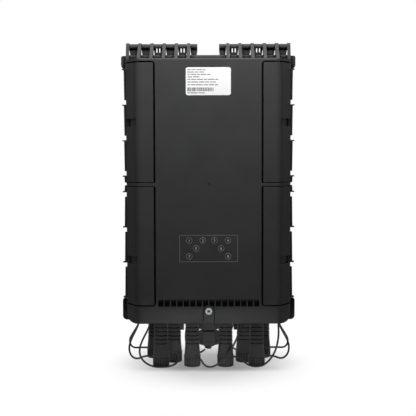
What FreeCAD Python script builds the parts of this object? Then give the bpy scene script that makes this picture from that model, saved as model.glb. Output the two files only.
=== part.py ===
"""Fibre distribution hub box: hinged cover, sealed base, eight capped ports and a plugged feeder gland.

Millimetres, +Z up, the cover faces -Y, and the ends of the dust caps stand on z = 0.
"""
import FreeCAD
import Part

import math
import os

V = FreeCAD.Vector
X_AXIS = V(1, 0, 0)
Y_AXIS = V(0, 1, 0)
Z_AXIS = V(0, 0, 1)

# Box
BODY_WIDTH = 234.0
BODY_HEIGHT = 372.7
BODY_DEPTH = 130.8     # from the screw's head to the rear pads
CORNER_RADIUS = 10.0    # lower corners
TOP_CORNER_RADIUS = 1.0
EASE = 0.5              # how far fused features sink into what carries them

# Cover
COVER_DEPTH = 36.0
COVER_WALL = 3.0
CHEEK_DEPTH = 10.0      # straight side next to the seam
CHAMFER_WIDTH = 16.6    # how far the slanted side comes in, seen from the front
PLAN_RADIUS = 12.0
EDGE_RADIUS = 2.2
SEAM_GAP = 0.4
FLANGE_WIDTH = 8.5
FLANGE_DEPTH = 4.0
INNER_RIB = 2.0
INNER_RIB_DEPTH = 6.0
INNER_RIB_XS = (-58.0, -20.0, 20.0, 58.0)
INNER_RIB_ROWS = 3

# Grooves and pockets of the cover's face
GROOVE_X = 75.5
GROOVE_WIDTH = 2.8
GROOVE_DEPTH = 4.6
GROOVE_LINE = 2.0       # its upper and lower runs
GROOVE_RADIUS = 5.0
BACKING = 2.0           # wall kept behind a deep groove or pocket
LINE_WIDTH = 1.3
LINE_DEPTH = 1.6
PANEL_TOP_MARGIN = 4.1
PANEL_BOTTOM_MARGIN = 24.8
PANEL_BAR = 5.6
VENT_COUNT = 16
VENT_PITCH = 9.0
VENT_RIB = 1.6
VENT_HEIGHT = 10.4
VENT_MARGIN = 24.4
VENT_DEPTH = 5.0
VENT_STEEP = 4.0        # upright part of a pocket's back, under its sloping roof
ARCH_RADIUS = 8.5
ARCH_LINE = 1.2
CLIP_SPACING = 194.0
CLIP_HEIGHT = 11.0
CLIP_DEPTH = 1.0
CLIP_SLOT_WIDTH = 4.0
CLIP_SLOT_DEPTH = 2.0
GATE_RADIUS = 2.0
GATE_DEPTH = 0.4

# Scalloped lip along the cover's sides
LIP_PITCH = 50.4
LIP_CENTRE_HALF = 11.1
LIP_COUNT = 4           # lips above the cover's middle, and as many below it
LIP_NOTCH = 6.4
LIP_CENTRE_NOTCH = 4.0
LIP_PROUD = 2.4
LIP_SWELL = 0.6
HOOK_PROUD = 5.4
HOOK_HEIGHT = 1.7
LIP_DEPTH = 7.0

# Label
LABEL_WIDTH = 62.6
LABEL_HEIGHT = 38.8
LABEL_RADIUS = 3.0
LABEL_THICKNESS = 0.3
LABEL_SUNK = 0.1
LABEL_MARGIN = 12.7

# Hinge
HINGE_BEHIND_SEAM = 5.0
HINGE_RISE = 19.0
EYE_RADIUS = 5.2
BARREL_RADIUS = 4.0
PIN_RADIUS = 1.75
PIN_PRESS = 0.02
PIN_RUNNING = 0.1
PIN_INSET = 2.0         # inward of the stub's end
PIN_RECESS = 0.3        # inward of the last arm's face
PIN_CHAMFER = 0.5
ARM_COUNT = 6
ARM_FIRST_X = 27.8
ARM_END_MARGIN = 2.4
ARM_THICKNESS = 4.6
ARM_SETBACK = 4.0       # from the edge of the cover's face or slanted side
ARM_HEEL_ANGLE = 25.0   # where the arm's rear edge meets its eye
KNUCKLE_GAP = 0.3
KNUCKLE_BELOW_AXIS = 6.6
KNUCKLE_TAPER = 1.0     # how far its foot draws in
KNUCKLE_FRONT = 1.2
STUB_LENGTH = 10.0      # knuckle inward of the first arm
SLOT_CELLS = (0, 2)
SLOT_WIDTH = 1.8
SLOT_SPACING = 4.2
SLOT_BELOW_AXIS = 2.0
SLOT_HEIGHT = 6.0
RIDGE_RISE = 7.2
RIDGE_END = 2.0
RIDGE_CHAMFER = 2.2
RIDGE_CREST = 8.0
RIDGE_FOOT = 17.0

# Base
BASE_WALL = 3.5
TUB_RADIUS = 6.0
RIM_STEP = 4.0
RIM_DROP = 5.7          # below the floor
RIM_DEPTH = 5.0
BACK_RADIUS = 5.0
EAR_PROUD = 7.2
EAR_ROOT = 6.0
EAR_DEPTH = 9.0
EAR_SETBACK = 1.0
EAR_RADIUS = 3.0
EAR_TAIL_RADIUS = 6.0
TOP_EAR_HEIGHT = 19.0
TOP_EAR_RISE = 6.0
BOTTOM_EAR_HEIGHT = 31.0
GASKET_INSET = 3.0
GASKET_WIDTH = 3.0
GASKET_GROOVE_DEPTH = 2.5
GASKET_SIDE_GAP = 0.1
GASKET_TOP_GAP = 0.1

# Rear mounting pads
MOUNT_SPACING_X = 150.0
MOUNT_SPACING_Z = 240.0
PAD_RADIUS = 12.0
PAD_PROUD = 3.4
INSERT_RADIUS = 4.6
INSERT_BORE = 3.0
INSERT_LENGTH = 12.0
INSERT_BOSS_WALL = 3.5
RAIL_WIDTH = 10.0
RAIL_PROUD = 1.8

# Captive screw
SCREW_MARGIN = 18.0
SCREW_RADIUS = 2.5
SCREW_CLEARANCE = 0.3
SCREW_HEAD_RADIUS = 4.8
SCREW_HEAD_HEIGHT = 3.8
SCREW_HEAD_PROUD = 0.4
SCREW_SOCKET = 4.0
SCREW_SOCKET_DEPTH = 2.6
SCREW_ENTRY = 10.0
COUNTERBORE_RADIUS = 6.0
WASHER_THICKNESS = 0.8
BOSS_RADIUS = 7.0
RETAINER_RADIUS = 4.4
RETAINER_THICKNESS = 1.2
RETAINER_GAP = 0.3
SCREW_INSERT_RADIUS = 4.0
SCREW_INSERT_LENGTH = 12.0
SCREW_BOSS_LENGTH = 16.0

# Dust caps
CAP_LENGTH = 66.0
CAP_END_RADIUS = 12.0
CAP_CONE_RADIUS = 11.6
CAP_NECK_RADIUS = 10.5
CAP_TOP_RADIUS = 9.9
CAP_BORE_RADIUS = 7.4
CAP_FLOOR = 6.0
CAP_EDGE = 1.0
KNURL_HEIGHT = 13.0
KNURL_COUNT = 20
KNURL_DEPTH = 0.9
LOOP_GROOVE_RADIUS = 9.6
LOOP_GROOVE_HEIGHT = 3.0
CONE_HEIGHT = 13.0
RING_COUNT = 6
RING_PITCH = 5.9
RING_DEPTH = 1.2
RING_GROOVE = 1.8

# Ports
PORT_FRONT_SETBACK = 16.0   # from the seam
PORT_BACK_SETBACK = 14.5    # from the back
PORT_INNER_X = 24.3
PORT_FRONT_INSET = 47.0     # from the box's side
PORT_MIDDLE_INSET = 65.0
PORT_BACK_INSET = 35.0
CAP_TO_FLANGE = 0.5
FLANGE_HEX = 20.0
ADAPTER_FLANGE = 8.0
SEAL_THICKNESS = 2.0
SEAL_RADIUS = 9.8
BARREL_CLEARANCE = 0.35
BARREL_TO_CAP_FLOOR = 1.0
ADAPTER_THREAD_RADIUS = 8.0
PORT_HOLE_CLEARANCE = 0.2
NUT_HEIGHT = 6.0
NUT_CLEARANCE = 0.05
THREAD_ABOVE_NUT = 3.0
FERRULE_BORE = 4.5
FERRULE_DEPTH = 24.0

# Inner fibre plugs
PLUG_WIDTH = 9.0
PLUG_THICKNESS = 7.4
PLUG_LENGTH = 25.0
PLUG_SOCKET_DEPTH = 12.0
PLUG_CLEARANCE = 0.2
BOOT_LENGTH = 18.0
BOOT_RADIUS = 3.0
BOOT_TIP_RADIUS = 1.8

# Feeder gland
GLAND_SETBACK = 37.0        # from the back
GLAND_THREAD_RADIUS = 10.0
GLAND_HEX = 26.8
GLAND_FLANGE = 29.0
GLAND_BORE = 6.5
GLAND_STEM = 16.0
GLAND_NUT_LENGTH = 19.8
GLAND_NUT_GAP = 3.0
GLAND_NUT_LIP = 4.0
GLAND_NUT_COLLAR = 4.4
GLAND_NUT_COLLAR_RADIUS = 14.8
GLAND_PLUG_HEAD = 8.0
GLAND_PLUG_HEAD_HEIGHT = 3.0
GLAND_PLUG_CLEARANCE = 0.2
GLAND_TAIL_RADIUS = 4.0
GLAND_TAIL_LENGTH = 4.2
GLAND_LOCKNUT_HEIGHT = 6.0

# Inside the base
TRAY_WIDTH = 170.0
TRAY_HEIGHT = 190.0
TRAY_DEPTH = 12.0
TRAY_WALL = 2.0
TRAY_RADIUS = 14.0
TRAY_TOP_MARGIN = 26.0
TRAY_STANDOFF = 10.0
TRAY_SCREW_INSET = 12.0
TRAY_BOSS_RADIUS = 5.0
TRAY_SCREW_RADIUS = 1.7
TRAY_SCREW_HEAD = 3.4
TRAY_SCREW_HEAD_HEIGHT = 2.4
TRAY_SCREW_LENGTH = 10.0
SPOOL_RADIUS = 26.0
SPOOL_SPACING = 80.0
LID_THICKNESS = 1.5
LID_CORNER_CUT = 22.0
HOLDER_WIDTH = 46.0
HOLDER_HEIGHT = 34.0
HOLDER_THICKNESS = 6.0
HOLDER_SLOTS = 6
HOLDER_SLOT = 3.0
SPLITTER_WIDTH = 90.0
SPLITTER_HEIGHT = 20.0
SPLITTER_THICKNESS = 10.0
SPLITTER_Z = 180.0
CLIP_RIB = 2.5
CLIP_CLEARANCE = 0.2
CLAMP_Z = 140.0
CLAMP_WIDTH = 44.0
CLAMP_BAR = 12.0
CLAMP_THICKNESS = 5.0
CLAMP_CABLE_RADIUS = 6.0
CLAMP_SCREW_SPACING = 32.0
CLAMP_SCREW_LENGTH = 14.0
SCREW_FIT = 0.05

# Tethers
TETHER_DIAMETER = 2.8
LOOP_CLEARANCE = 0.3
LOOP_RADIUS = 12.3
LOOP_THICKNESS = 2.4
LUG_RADIUS = 1.4
LUG_LENGTH = 4.3
LUG_REACH = 15.5
LUG_ANGLES = (180.0, -60.0, -28.0, 0.0, -72.0, 128.0, 180.0, 0.0)
PLUG_LUG_OFFSET = (-5.6, -1.4, -2.9)
PEG_RADIUS = 2.5
PEG_LENGTH = 6.5
SIDE_PEG_INSET = 14.0
PEG_OFFSETS = {         # from the side line, the port or the gland that each peg belongs to
    "cap_tether_1": (0.0, 13.0),
    "cap_tether_2": (21.7, 9.0),
    "cap_tether_3": (-1.0, 5.0),
    "cap_tether_4": (0.0, 11.4),
    "cap_tether_5": (-16.0, 7.0),
    "cap_tether_6": (-12.0, 18.75),
    "cap_tether_7": (0.0, -16.5),
    "cap_tether_8": (0.0, -16.5),
    "plug_tether": (-30.0, 12.0),
}
POST_X = 39.3
POST_BEHIND_PORTS = 15.0
POST_RADIUS = 2.6
POST_LENGTH = 26.0
RUN_SHARE = 0.45

# Tether routes as seen on the box, from the peg under the floor to the lug of the loop
TETHER_ROUTES = {
    "cap_tether_1": [(-103.0, 0.0, 70.0), (-103.0, 0.0, 60.0), (-108.6, -3.2, 48.6), (-114.6, -7.2, 37.0),
                     (-117.6, -11.0, 25.0), (-114.0, -13.8, 14.0), (-105.1, -14.0, 9.6), (-94.5, -13.0, 14.5),
                     (-85.5, -13.0, 14.5)],
    "cap_tether_2": [(46.0, -4.0, 70.0), (46.0, -4.0, 59.5), (44.0, -10.6, 47.5), (38.4, -19.4, 35.5),
                     (30.4, -26.8, 23.5), (20.4, -32.6, 12.6), (8.9, -36.5, 3.8), (-2.4, -38.7, 3.2),
                     (-8.6, -39.2, 8.7), (-12.0, -34.2, 14.5), (-16.6, -26.4, 14.5)],
    "cap_tether_3": [(102.0, -8.0, 70.0), (102.0, -8.0, 59.5), (102.4, -12.4, 47.5), (100.6, -18.8, 35.5),
                     (96.4, -25.6, 23.0), (88.4, -30.8, 11.6), (77.5, -33.5, 3.8), (65.0, -33.8, 2.6),
                     (54.0, -30.5, 5.8), (45.9, -24.5, 14.5), (38.0, -20.3, 14.5)],
    "cap_tether_4": [(103.0, -1.6, 70.0), (103.0, -1.6, 60.0), (108.9, -4.5, 48.6), (115.4, -8.0, 37.4),
                     (118.2, -11.4, 25.6), (114.5, -14.3, 14.8), (105.6, -14.2, 9.8), (94.5, -13.0, 14.5),
                     (85.5, -13.0, 14.5)],
    "cap_tether_5": [(-86.0, -6.0, 70.0), (-86.0, -6.0, 60.0), (-91.0, -10.6, 49.4), (-97.4, -16.6, 38.0),
                     (-101.4, -23.0, 26.5), (-99.4, -28.6, 15.6), (-91.2, -32.2, 7.4), (-79.5, -34.2, 2.8),
                     (-66.5, -33.0, 2.2), (-55.0, -28.4, 2.4), (-47.4, -20.2, 4.6), (-43.6, -13.0, 9.6),
                     (-44.4, -6.1, 14.5), (-47.2, 2.5, 14.5)],
    "cap_tether_6": [(40.0, 36.0, 70.0), (40.0, 36.0, 60.5), (37.0, 39.8, 50.0), (32.4, 43.4, 39.5),
                     (29.0, 45.2, 29.5), (30.6, 44.3, 20.7), (36.9, 36.6, 14.5), (42.5, 29.5, 14.5)],
    "cap_tether_7": [(-103.0, 31.0, 70.0), (-103.0, 31.0, 60.0), (-108.4, 33.4, 49.0), (-115.2, 36.5, 38.3),
                     (-120.4, 40.1, 28.7), (-119.4, 43.1, 19.3), (-114.0, 45.4, 14.5), (-106.5, 47.5, 14.5),
                     (-97.5, 47.5, 14.5)],
    "cap_tether_8": [(103.0, 31.0, 70.0), (103.0, 31.0, 60.0), (108.4, 33.4, 49.0), (115.2, 36.5, 38.3),
                     (120.4, 40.1, 28.7), (119.4, 43.1, 19.3), (114.0, 45.4, 14.5), (106.5, 47.5, 14.5),
                     (97.5, 47.5, 14.5)],
    "plug_tether": [(-30.0, 37.0, 70.0), (-30.0, 37.0, 60.0), (-33.4, 36.4, 49.0), (-35.2, 33.8, 37.6),
                    (-34.7, 29.6, 26.9), (-32.5, 24.3, 16.7), (-25.5, 21.4, 9.7), (-12.6, 21.8, 11.1),
                    (-5.6, 23.6, 16.4)],
}

# Places worked out from the driving dimensions
FRONT_Y = SCREW_HEAD_PROUD - BODY_DEPTH / 2
SEAM_Y = FRONT_Y + COVER_DEPTH
RIM_Y = SEAM_Y + SEAM_GAP
PAD_Y = BODY_DEPTH / 2
BACK_Y = PAD_Y - PAD_PROUD
INNER_BACK_Y = BACK_Y - BASE_WALL
FLANGE_Z = CAP_LENGTH + CAP_TO_FLANGE
FLOOR_Z = FLANGE_Z + ADAPTER_FLANGE + SEAL_THICKNESS
INNER_FLOOR_Z = FLOOR_Z + BASE_WALL
BOTTOM_Z = FLOOR_Z - RIM_DROP
TOP_Z = BOTTOM_Z + BODY_HEIGHT
HALF_WIDTH = BODY_WIDTH / 2
PANEL_TOP_Z = TOP_Z - PANEL_TOP_MARGIN
PANEL_BOTTOM_Z = BOTTOM_Z + PANEL_BOTTOM_MARGIN
PANEL_MIDDLE_Z = (PANEL_TOP_Z + PANEL_BOTTOM_Z) / 2
BODY_MIDDLE_Z = (TOP_Z + BOTTOM_Z) / 2
HINGE_Y = SEAM_Y + HINGE_BEHIND_SEAM
HINGE_Z = TOP_Z + HINGE_RISE
RIDGE_Z = TOP_Z + RIDGE_RISE
SCREW_Z = BOTTOM_Z + SCREW_MARGIN
TRAY_TOP_Z = TOP_Z - TRAY_TOP_MARGIN
TRAY_BOTTOM_Z = TRAY_TOP_Z - TRAY_HEIGHT
TRAY_MIDDLE_Z = (TRAY_TOP_Z + TRAY_BOTTOM_Z) / 2
TRAY_BACK_Y = INNER_BACK_Y - TRAY_STANDOFF
TRAY_FRONT_Y = TRAY_BACK_Y - TRAY_DEPTH
GLAND_Y = BACK_Y - GLAND_SETBACK
GLAND_STEM_Z = FLOOR_Z - GLAND_FLANGE - GLAND_STEM
GLAND_NUT_TOP_Z = FLOOR_Z - GLAND_FLANGE - GLAND_NUT_GAP
GLAND_NUT_BOTTOM_Z = GLAND_NUT_TOP_Z - GLAND_NUT_LENGTH
GLAND_HEAD_Z = GLAND_NUT_BOTTOM_Z - GLAND_PLUG_HEAD_HEIGHT
ARM_PITCH = (HALF_WIDTH - ARM_END_MARGIN - ARM_FIRST_X) / (ARM_COUNT - 1)
ARM_XS = [ARM_FIRST_X + index * ARM_PITCH for index in range(ARM_COUNT)]
PORT_FRONT_Y = SEAM_Y + PORT_FRONT_SETBACK
PORT_BACK_Y = BACK_Y - PORT_BACK_SETBACK
PORT_MIDDLE_Y = (PORT_FRONT_Y + PORT_BACK_Y) / 2
PORT_OUTER_X = HALF_WIDTH - PORT_FRONT_INSET
PORT_MIDDLE_X = HALF_WIDTH - PORT_MIDDLE_INSET
PORT_BACK_X = HALF_WIDTH - PORT_BACK_INSET
PORTS = (
    [(x, PORT_FRONT_Y) for x in (-PORT_OUTER_X, -PORT_INNER_X, PORT_INNER_X, PORT_OUTER_X)]
    + [(x, PORT_MIDDLE_Y) for x in (-PORT_MIDDLE_X, PORT_MIDDLE_X)]
    + [(x, PORT_BACK_Y) for x in (-PORT_BACK_X, PORT_BACK_X)]
)
SIDE_PEG_X = HALF_WIDTH - SIDE_PEG_INSET
PEG_ORIGINS = {
    "cap_tether_1": (-SIDE_PEG_X, PORT_FRONT_Y),
    "cap_tether_2": (PORT_INNER_X, PORT_FRONT_Y),
    "cap_tether_3": (SIDE_PEG_X, PORT_FRONT_Y),
    "cap_tether_4": (SIDE_PEG_X, PORT_FRONT_Y),
    "cap_tether_5": (-PORT_OUTER_X, PORT_FRONT_Y),
    "cap_tether_6": (PORT_MIDDLE_X, PORT_MIDDLE_Y),
    "cap_tether_7": (-SIDE_PEG_X, PORT_BACK_Y),
    "cap_tether_8": (SIDE_PEG_X, PORT_BACK_Y),
    "plug_tether": (0.0, GLAND_Y),
}
PEG_PLACES = {
    name: (x + PEG_OFFSETS[name][0], y + PEG_OFFSETS[name][1])
    for name, (x, y) in PEG_ORIGINS.items()
}
MOUNT_POINTS = [
    (side * MOUNT_SPACING_X / 2, BODY_MIDDLE_Z + level * MOUNT_SPACING_Z / 2)
    for side in (-1, 1)
    for level in (-1, 1)
]
TRAY_SCREW_POINTS = [
    (side * (TRAY_WIDTH / 2 - TRAY_SCREW_INSET), TRAY_MIDDLE_Z + level * (TRAY_HEIGHT / 2 - TRAY_SCREW_INSET))
    for side in (-1, 1)
    for level in (-1, 1)
]
CLAMP_SCREW_POINTS = [(side * CLAMP_SCREW_SPACING / 2, CLAMP_Z) for side in (-1, 1)]


# Shape helpers
def box(x0, x1, y0, y1, z0, z1):
    return Part.makeBox(x1 - x0, y1 - y0, z1 - z0, V(x0, y0, z0))


def rod_x(radius, x0, x1, y, z):
    return Part.makeCylinder(radius, x1 - x0, V(x0, y, z), X_AXIS)


def rod_y(radius, y0, y1, x, z):
    return Part.makeCylinder(radius, y1 - y0, V(x, y0, z), Y_AXIS)


def rod_z(radius, z0, z1, x, y):
    return Part.makeCylinder(radius, z1 - z0, V(x, y, z0), Z_AXIS)


def edges_along(shape, axis):
    return [edge for edge in shape.Edges
            if edge.Curve.TypeId == "Part::GeomLine" and abs(edge.Curve.Direction.dot(axis)) > 0.999]


def rounded_plate(half_width, z0, z1, radius, y0, y1, top_radius=None):
    """Upright rectangle with rounded corners, centred on x = 0; the upper two may differ."""
    plate = box(-half_width, half_width, y0, y1, z0, z1)
    middle = (z0 + z1) / 2
    lower = [edge for edge in edges_along(plate, Y_AXIS) if edge.CenterOfMass.z < middle]
    plate = plate.makeFillet(radius, lower)
    upper = [edge for edge in edges_along(plate, Y_AXIS) if abs(edge.CenterOfMass.z - z1) < EASE]
    return plate.makeFillet(top_radius or radius, upper)


def polygon_prism(points, sweep):
    corners = points + points[:1]
    return Part.Face(Part.makePolygon(corners)).extrude(sweep)


def profile_yz(points, x0, x1):
    return polygon_prism([V(x0, y, z) for y, z in points], V(x1 - x0, 0, 0))


def revolved(profile, x, y):
    """Turn a closed list of (radius, z) points about the upright line through x, y."""
    points = [V(radius, 0, z) for radius, z in profile]
    face = Part.Face(Part.makePolygon(points + points[:1]))
    solid = face.revolve(V(0, 0, 0), Z_AXIS, 360)
    solid.translate(V(x, y, 0))
    return solid


def hexagon(across, z0, z1, x, y):
    radius = across / math.sqrt(3)
    corners = [V(x + radius * math.cos(math.radians(60 * k)), y + radius * math.sin(math.radians(60 * k)), z0)
               for k in range(6)]
    return polygon_prism(corners, V(0, 0, z1 - z0))


def fuse_all(shapes):
    return shapes[0].multiFuse(shapes[1:]).removeSplitter()


def group(shapes):
    return Part.makeCompound(shapes)


def flutes(radius, depth, count, z0, z1):
    """Upright V grooves round a turned grip, centred on the z axis."""
    half_angle = math.pi / count / 2
    outside = radius + depth
    cuts = []
    for index in range(count):
        middle = 2 * math.pi * index / count
        corners = [V((radius - depth) * math.cos(middle), (radius - depth) * math.sin(middle), z0)]
        corners += [V(outside * math.cos(middle + side * half_angle),
                      outside * math.sin(middle + side * half_angle), z0) for side in (-1, 1)]
        cuts.append(polygon_prism(corners, V(0, 0, z1 - z0)))
    return cuts


# Cover
def cover_block(inset, rear_y):
    """The cover's outer form moved inward by inset, from its face back to rear_y."""
    slant_depth = COVER_DEPTH - CHEEK_DEPTH
    side_turn = math.atan2(CHAMFER_WIDTH, slant_depth)
    front_turn = math.pi / 2 - side_turn
    half = HALF_WIDTH - inset
    flat = HALF_WIDTH - CHAMFER_WIDTH - inset * math.tan(front_turn / 2)
    shoulder_y = SEAM_Y - CHEEK_DEPTH + inset * math.tan(side_turn / 2)
    face_y = FRONT_Y + inset
    low, high = BOTTOM_Z + inset, TOP_Z - inset
    outline = [(-half, rear_y), (-half, shoulder_y), (-flat, face_y),
               (flat, face_y), (half, shoulder_y), (half, rear_y)]
    plan = polygon_prism([V(x, y, low) for x, y in outline], V(0, 0, high - low))
    corners = [edge for edge in edges_along(plan, Z_AXIS) if edge.CenterOfMass.y < rear_y - EASE]
    plan = plan.makeFillet(max(PLAN_RADIUS - inset, EASE), corners)
    corner = max(CORNER_RADIUS - inset, EASE)
    elevation = rounded_plate(half, low, high, corner, face_y, rear_y, TOP_CORNER_RADIUS)
    side = box(-half, half, face_y, rear_y, low, high)
    front_edges = [edge for edge in edges_along(side, X_AXIS) if edge.CenterOfMass.y < face_y + EASE]
    side = side.makeFillet(max(EDGE_RADIUS - inset, EASE), front_edges)
    return plan.common(elevation).common(side)


def face_cut(region, depth):
    """The part of a region that lies within depth of the cover's outer surface."""
    return region.cut(cover_block(depth, SEAM_Y))


def backing(region, depth):
    """Thickening inside the cover where a region is cut to that depth."""
    return region.common(cover_block(COVER_WALL - EASE, SEAM_Y)).cut(cover_block(depth + BACKING, SEAM_Y))


def side_tile(side, inset, line_inset):
    """Region of one side panel drawn in from the groove's outer edge, with rounded inner corners."""
    x0, x1 = sorted((side * (GROOVE_X - GROOVE_WIDTH / 2 + inset), side * (HALF_WIDTH + EASE)))
    tile = box(x0, x1, FRONT_Y - EASE, SEAM_Y - CHEEK_DEPTH,
               PANEL_BOTTOM_Z + line_inset, PANEL_TOP_Z - line_inset)
    corners = [edge for edge in edges_along(tile, Y_AXIS) if abs(edge.CenterOfMass.x) < HALF_WIDTH]
    return tile.makeFillet(max(GROOVE_RADIUS - inset, EASE), corners)


def groove_rings():
    return [side_tile(side, 0, 0).cut(side_tile(side, GROOVE_WIDTH, GROOVE_LINE)) for side in (-1, 1)]


def groove_backings():
    wide = GROOVE_WIDTH + BACKING
    long = GROOVE_LINE + BACKING
    rings = [side_tile(side, -BACKING, -BACKING).cut(side_tile(side, wide, long)) for side in (-1, 1)]
    return [backing(ring, GROOVE_DEPTH) for ring in rings]


def panel_grooves():
    cuts = [face_cut(ring, GROOVE_DEPTH) for ring in groove_rings()]
    for side in (-1, 1):
        inner, outer = sorted((side * GROOVE_X, side * (HALF_WIDTH + EASE)))
        for level in (-1, 1):
            low = PANEL_MIDDLE_Z + level * PANEL_BAR / 2 - LINE_WIDTH / 2
            line = box(inner, outer, FRONT_Y - EASE, SEAM_Y - CHEEK_DEPTH, low, low + LINE_WIDTH)
            cuts.append(face_cut(line, LINE_DEPTH))
    return cuts


def vent_pockets():
    """Row of louvre pockets with sloping roofs, kept clear of the arch round the screw."""
    low = BOTTOM_Z + VENT_MARGIN
    floor_y = FRONT_Y + VENT_DEPTH
    outline = [(FRONT_Y - EASE, low), (floor_y, low), (floor_y, low + VENT_STEEP),
               (FRONT_Y, low + VENT_HEIGHT), (FRONT_Y - EASE, low + VENT_HEIGHT)]
    half = (VENT_PITCH - VENT_RIB) / 2
    arch = rod_y(ARCH_RADIUS, FRONT_Y - EASE, floor_y, 0, SCREW_Z)
    cuts = []
    for index in range(VENT_COUNT):
        x = (index - (VENT_COUNT - 1) / 2) * VENT_PITCH
        cuts.append(profile_yz(outline, x - half, x + half).cut(arch))
    return cuts


def vent_backing():
    low = BOTTOM_Z + VENT_MARGIN
    reach = VENT_COUNT * VENT_PITCH / 2 + BACKING / 2
    return box(-reach, reach, FRONT_Y + COVER_WALL - EASE, FRONT_Y + VENT_DEPTH + BACKING,
               low - BACKING, low + VENT_HEIGHT)


def arch_groove():
    """Line round the screw: a half ring with two legs down to the lower edge."""
    y0, y1 = FRONT_Y - EASE, FRONT_Y + LINE_DEPTH
    low = BOTTOM_Z + EDGE_RADIUS
    forms = []
    for radius in (ARCH_RADIUS, ARCH_RADIUS - ARCH_LINE):
        legs = box(-radius, radius, y0, y1, low, SCREW_Z)
        forms.append(rod_y(radius, y0, y1, 0, SCREW_Z).fuse(legs))
    return forms[0].cut(forms[1])


def clip_windows():
    cuts = []
    flat = HALF_WIDTH - CHAMFER_WIDTH
    for side in (-1, 1):
        for level in (-1, 1):
            z = BODY_MIDDLE_Z + level * CLIP_SPACING / 2
            x0, x1 = sorted((side * (flat + EASE), side * (HALF_WIDTH + EASE)))
            window = box(x0, x1, FRONT_Y, SEAM_Y - CHEEK_DEPTH, z - CLIP_HEIGHT / 2, z + CLIP_HEIGHT / 2)
            cuts.append(face_cut(window, CLIP_DEPTH))
            slot_out = side * (HALF_WIDTH - CHAMFER_WIDTH / 2 + CLIP_SLOT_WIDTH)
            s0, s1 = sorted((slot_out, slot_out - side * CLIP_SLOT_WIDTH))
            slot = box(s0, s1, FRONT_Y, SEAM_Y - CHEEK_DEPTH, z - CLIP_HEIGHT / 2, z + CLIP_HEIGHT / 2)
            cuts.append(face_cut(slot, CLIP_SLOT_DEPTH))
    return cuts


def side_lip(side):
    """Strip of lips along one side of the cover, each with a hook at the end away from the middle."""
    root = side * (HALF_WIDTH - EASE)
    low_edge = side * (HALF_WIDTH + LIP_PROUD)
    high_edge = side * (HALF_WIDTH + LIP_PROUD + LIP_SWELL)
    tip = side * (HALF_WIDTH + HOOK_PROUD)
    y0 = SEAM_Y - LIP_DEPTH
    start = LIP_CENTRE_NOTCH / 2
    lips = []
    for index in range(LIP_COUNT):
        stop = LIP_CENTRE_HALF + index * LIP_PITCH + HOOK_HEIGHT / 2
        outline = [(root, start), (low_edge, start), (high_edge, stop - HOOK_HEIGHT),
                   (tip, stop - HOOK_HEIGHT), (tip, stop), (root, stop)]
        for level in (-1, 1):
            corners = [V(x, y0, PANEL_MIDDLE_Z + level * rise) for x, rise in outline]
            lips.append(polygon_prism(corners, V(0, LIP_DEPTH, 0)))
        start = stop + LIP_NOTCH
    return lips


def hinge_arm(x):
    """Gusset from the cover's top edge back and up to an eye round the hinge axis."""
    beyond_flat = max(abs(x) + ARM_THICKNESS / 2 - HALF_WIDTH + CHAMFER_WIDTH, 0)
    foot_y = FRONT_Y + ARM_SETBACK + beyond_flat * (COVER_DEPTH - CHEEK_DEPTH) / CHAMFER_WIDTH
    slope = math.atan2(HINGE_RISE, HINGE_Y - foot_y)
    eye_top = (HINGE_Y - EYE_RADIUS * math.sin(slope), HINGE_Z + EYE_RADIUS * math.cos(slope))
    heel = math.radians(ARM_HEEL_ANGLE)
    eye_back = (HINGE_Y - EYE_RADIUS * math.cos(heel), HINGE_Z - EYE_RADIUS * math.sin(heel))
    outline = [(foot_y, TOP_Z - COVER_WALL / 2), (foot_y, TOP_Z + EASE), eye_top,
               (HINGE_Y, HINGE_Z), eye_back, (SEAM_Y - EASE, TOP_Z - COVER_WALL / 2)]
    x0, x1 = x - ARM_THICKNESS / 2, x + ARM_THICKNESS / 2
    return profile_yz(outline, x0, x1).fuse(rod_x(EYE_RADIUS, x0, x1, HINGE_Y, HINGE_Z))


def label_plate(front_y):
    """The label's outline from front_y back to the floor of its recess."""
    high = TOP_Z - LABEL_MARGIN
    floor_y = FRONT_Y + LABEL_SUNK + LABEL_THICKNESS
    return rounded_plate(LABEL_WIDTH / 2, high - LABEL_HEIGHT, high, LABEL_RADIUS, front_y, floor_y)


def cover_flange():
    outer = rounded_plate(HALF_WIDTH - EASE, BOTTOM_Z + EASE, TOP_Z - EASE, CORNER_RADIUS - EASE,
                          SEAM_Y - FLANGE_DEPTH, SEAM_Y, TOP_CORNER_RADIUS)
    inner = rounded_plate(HALF_WIDTH - FLANGE_WIDTH, BOTTOM_Z + FLANGE_WIDTH, TOP_Z - FLANGE_WIDTH,
                          CORNER_RADIUS, SEAM_Y - COVER_DEPTH, SEAM_Y + EASE)
    return outer.cut(inner)


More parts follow.
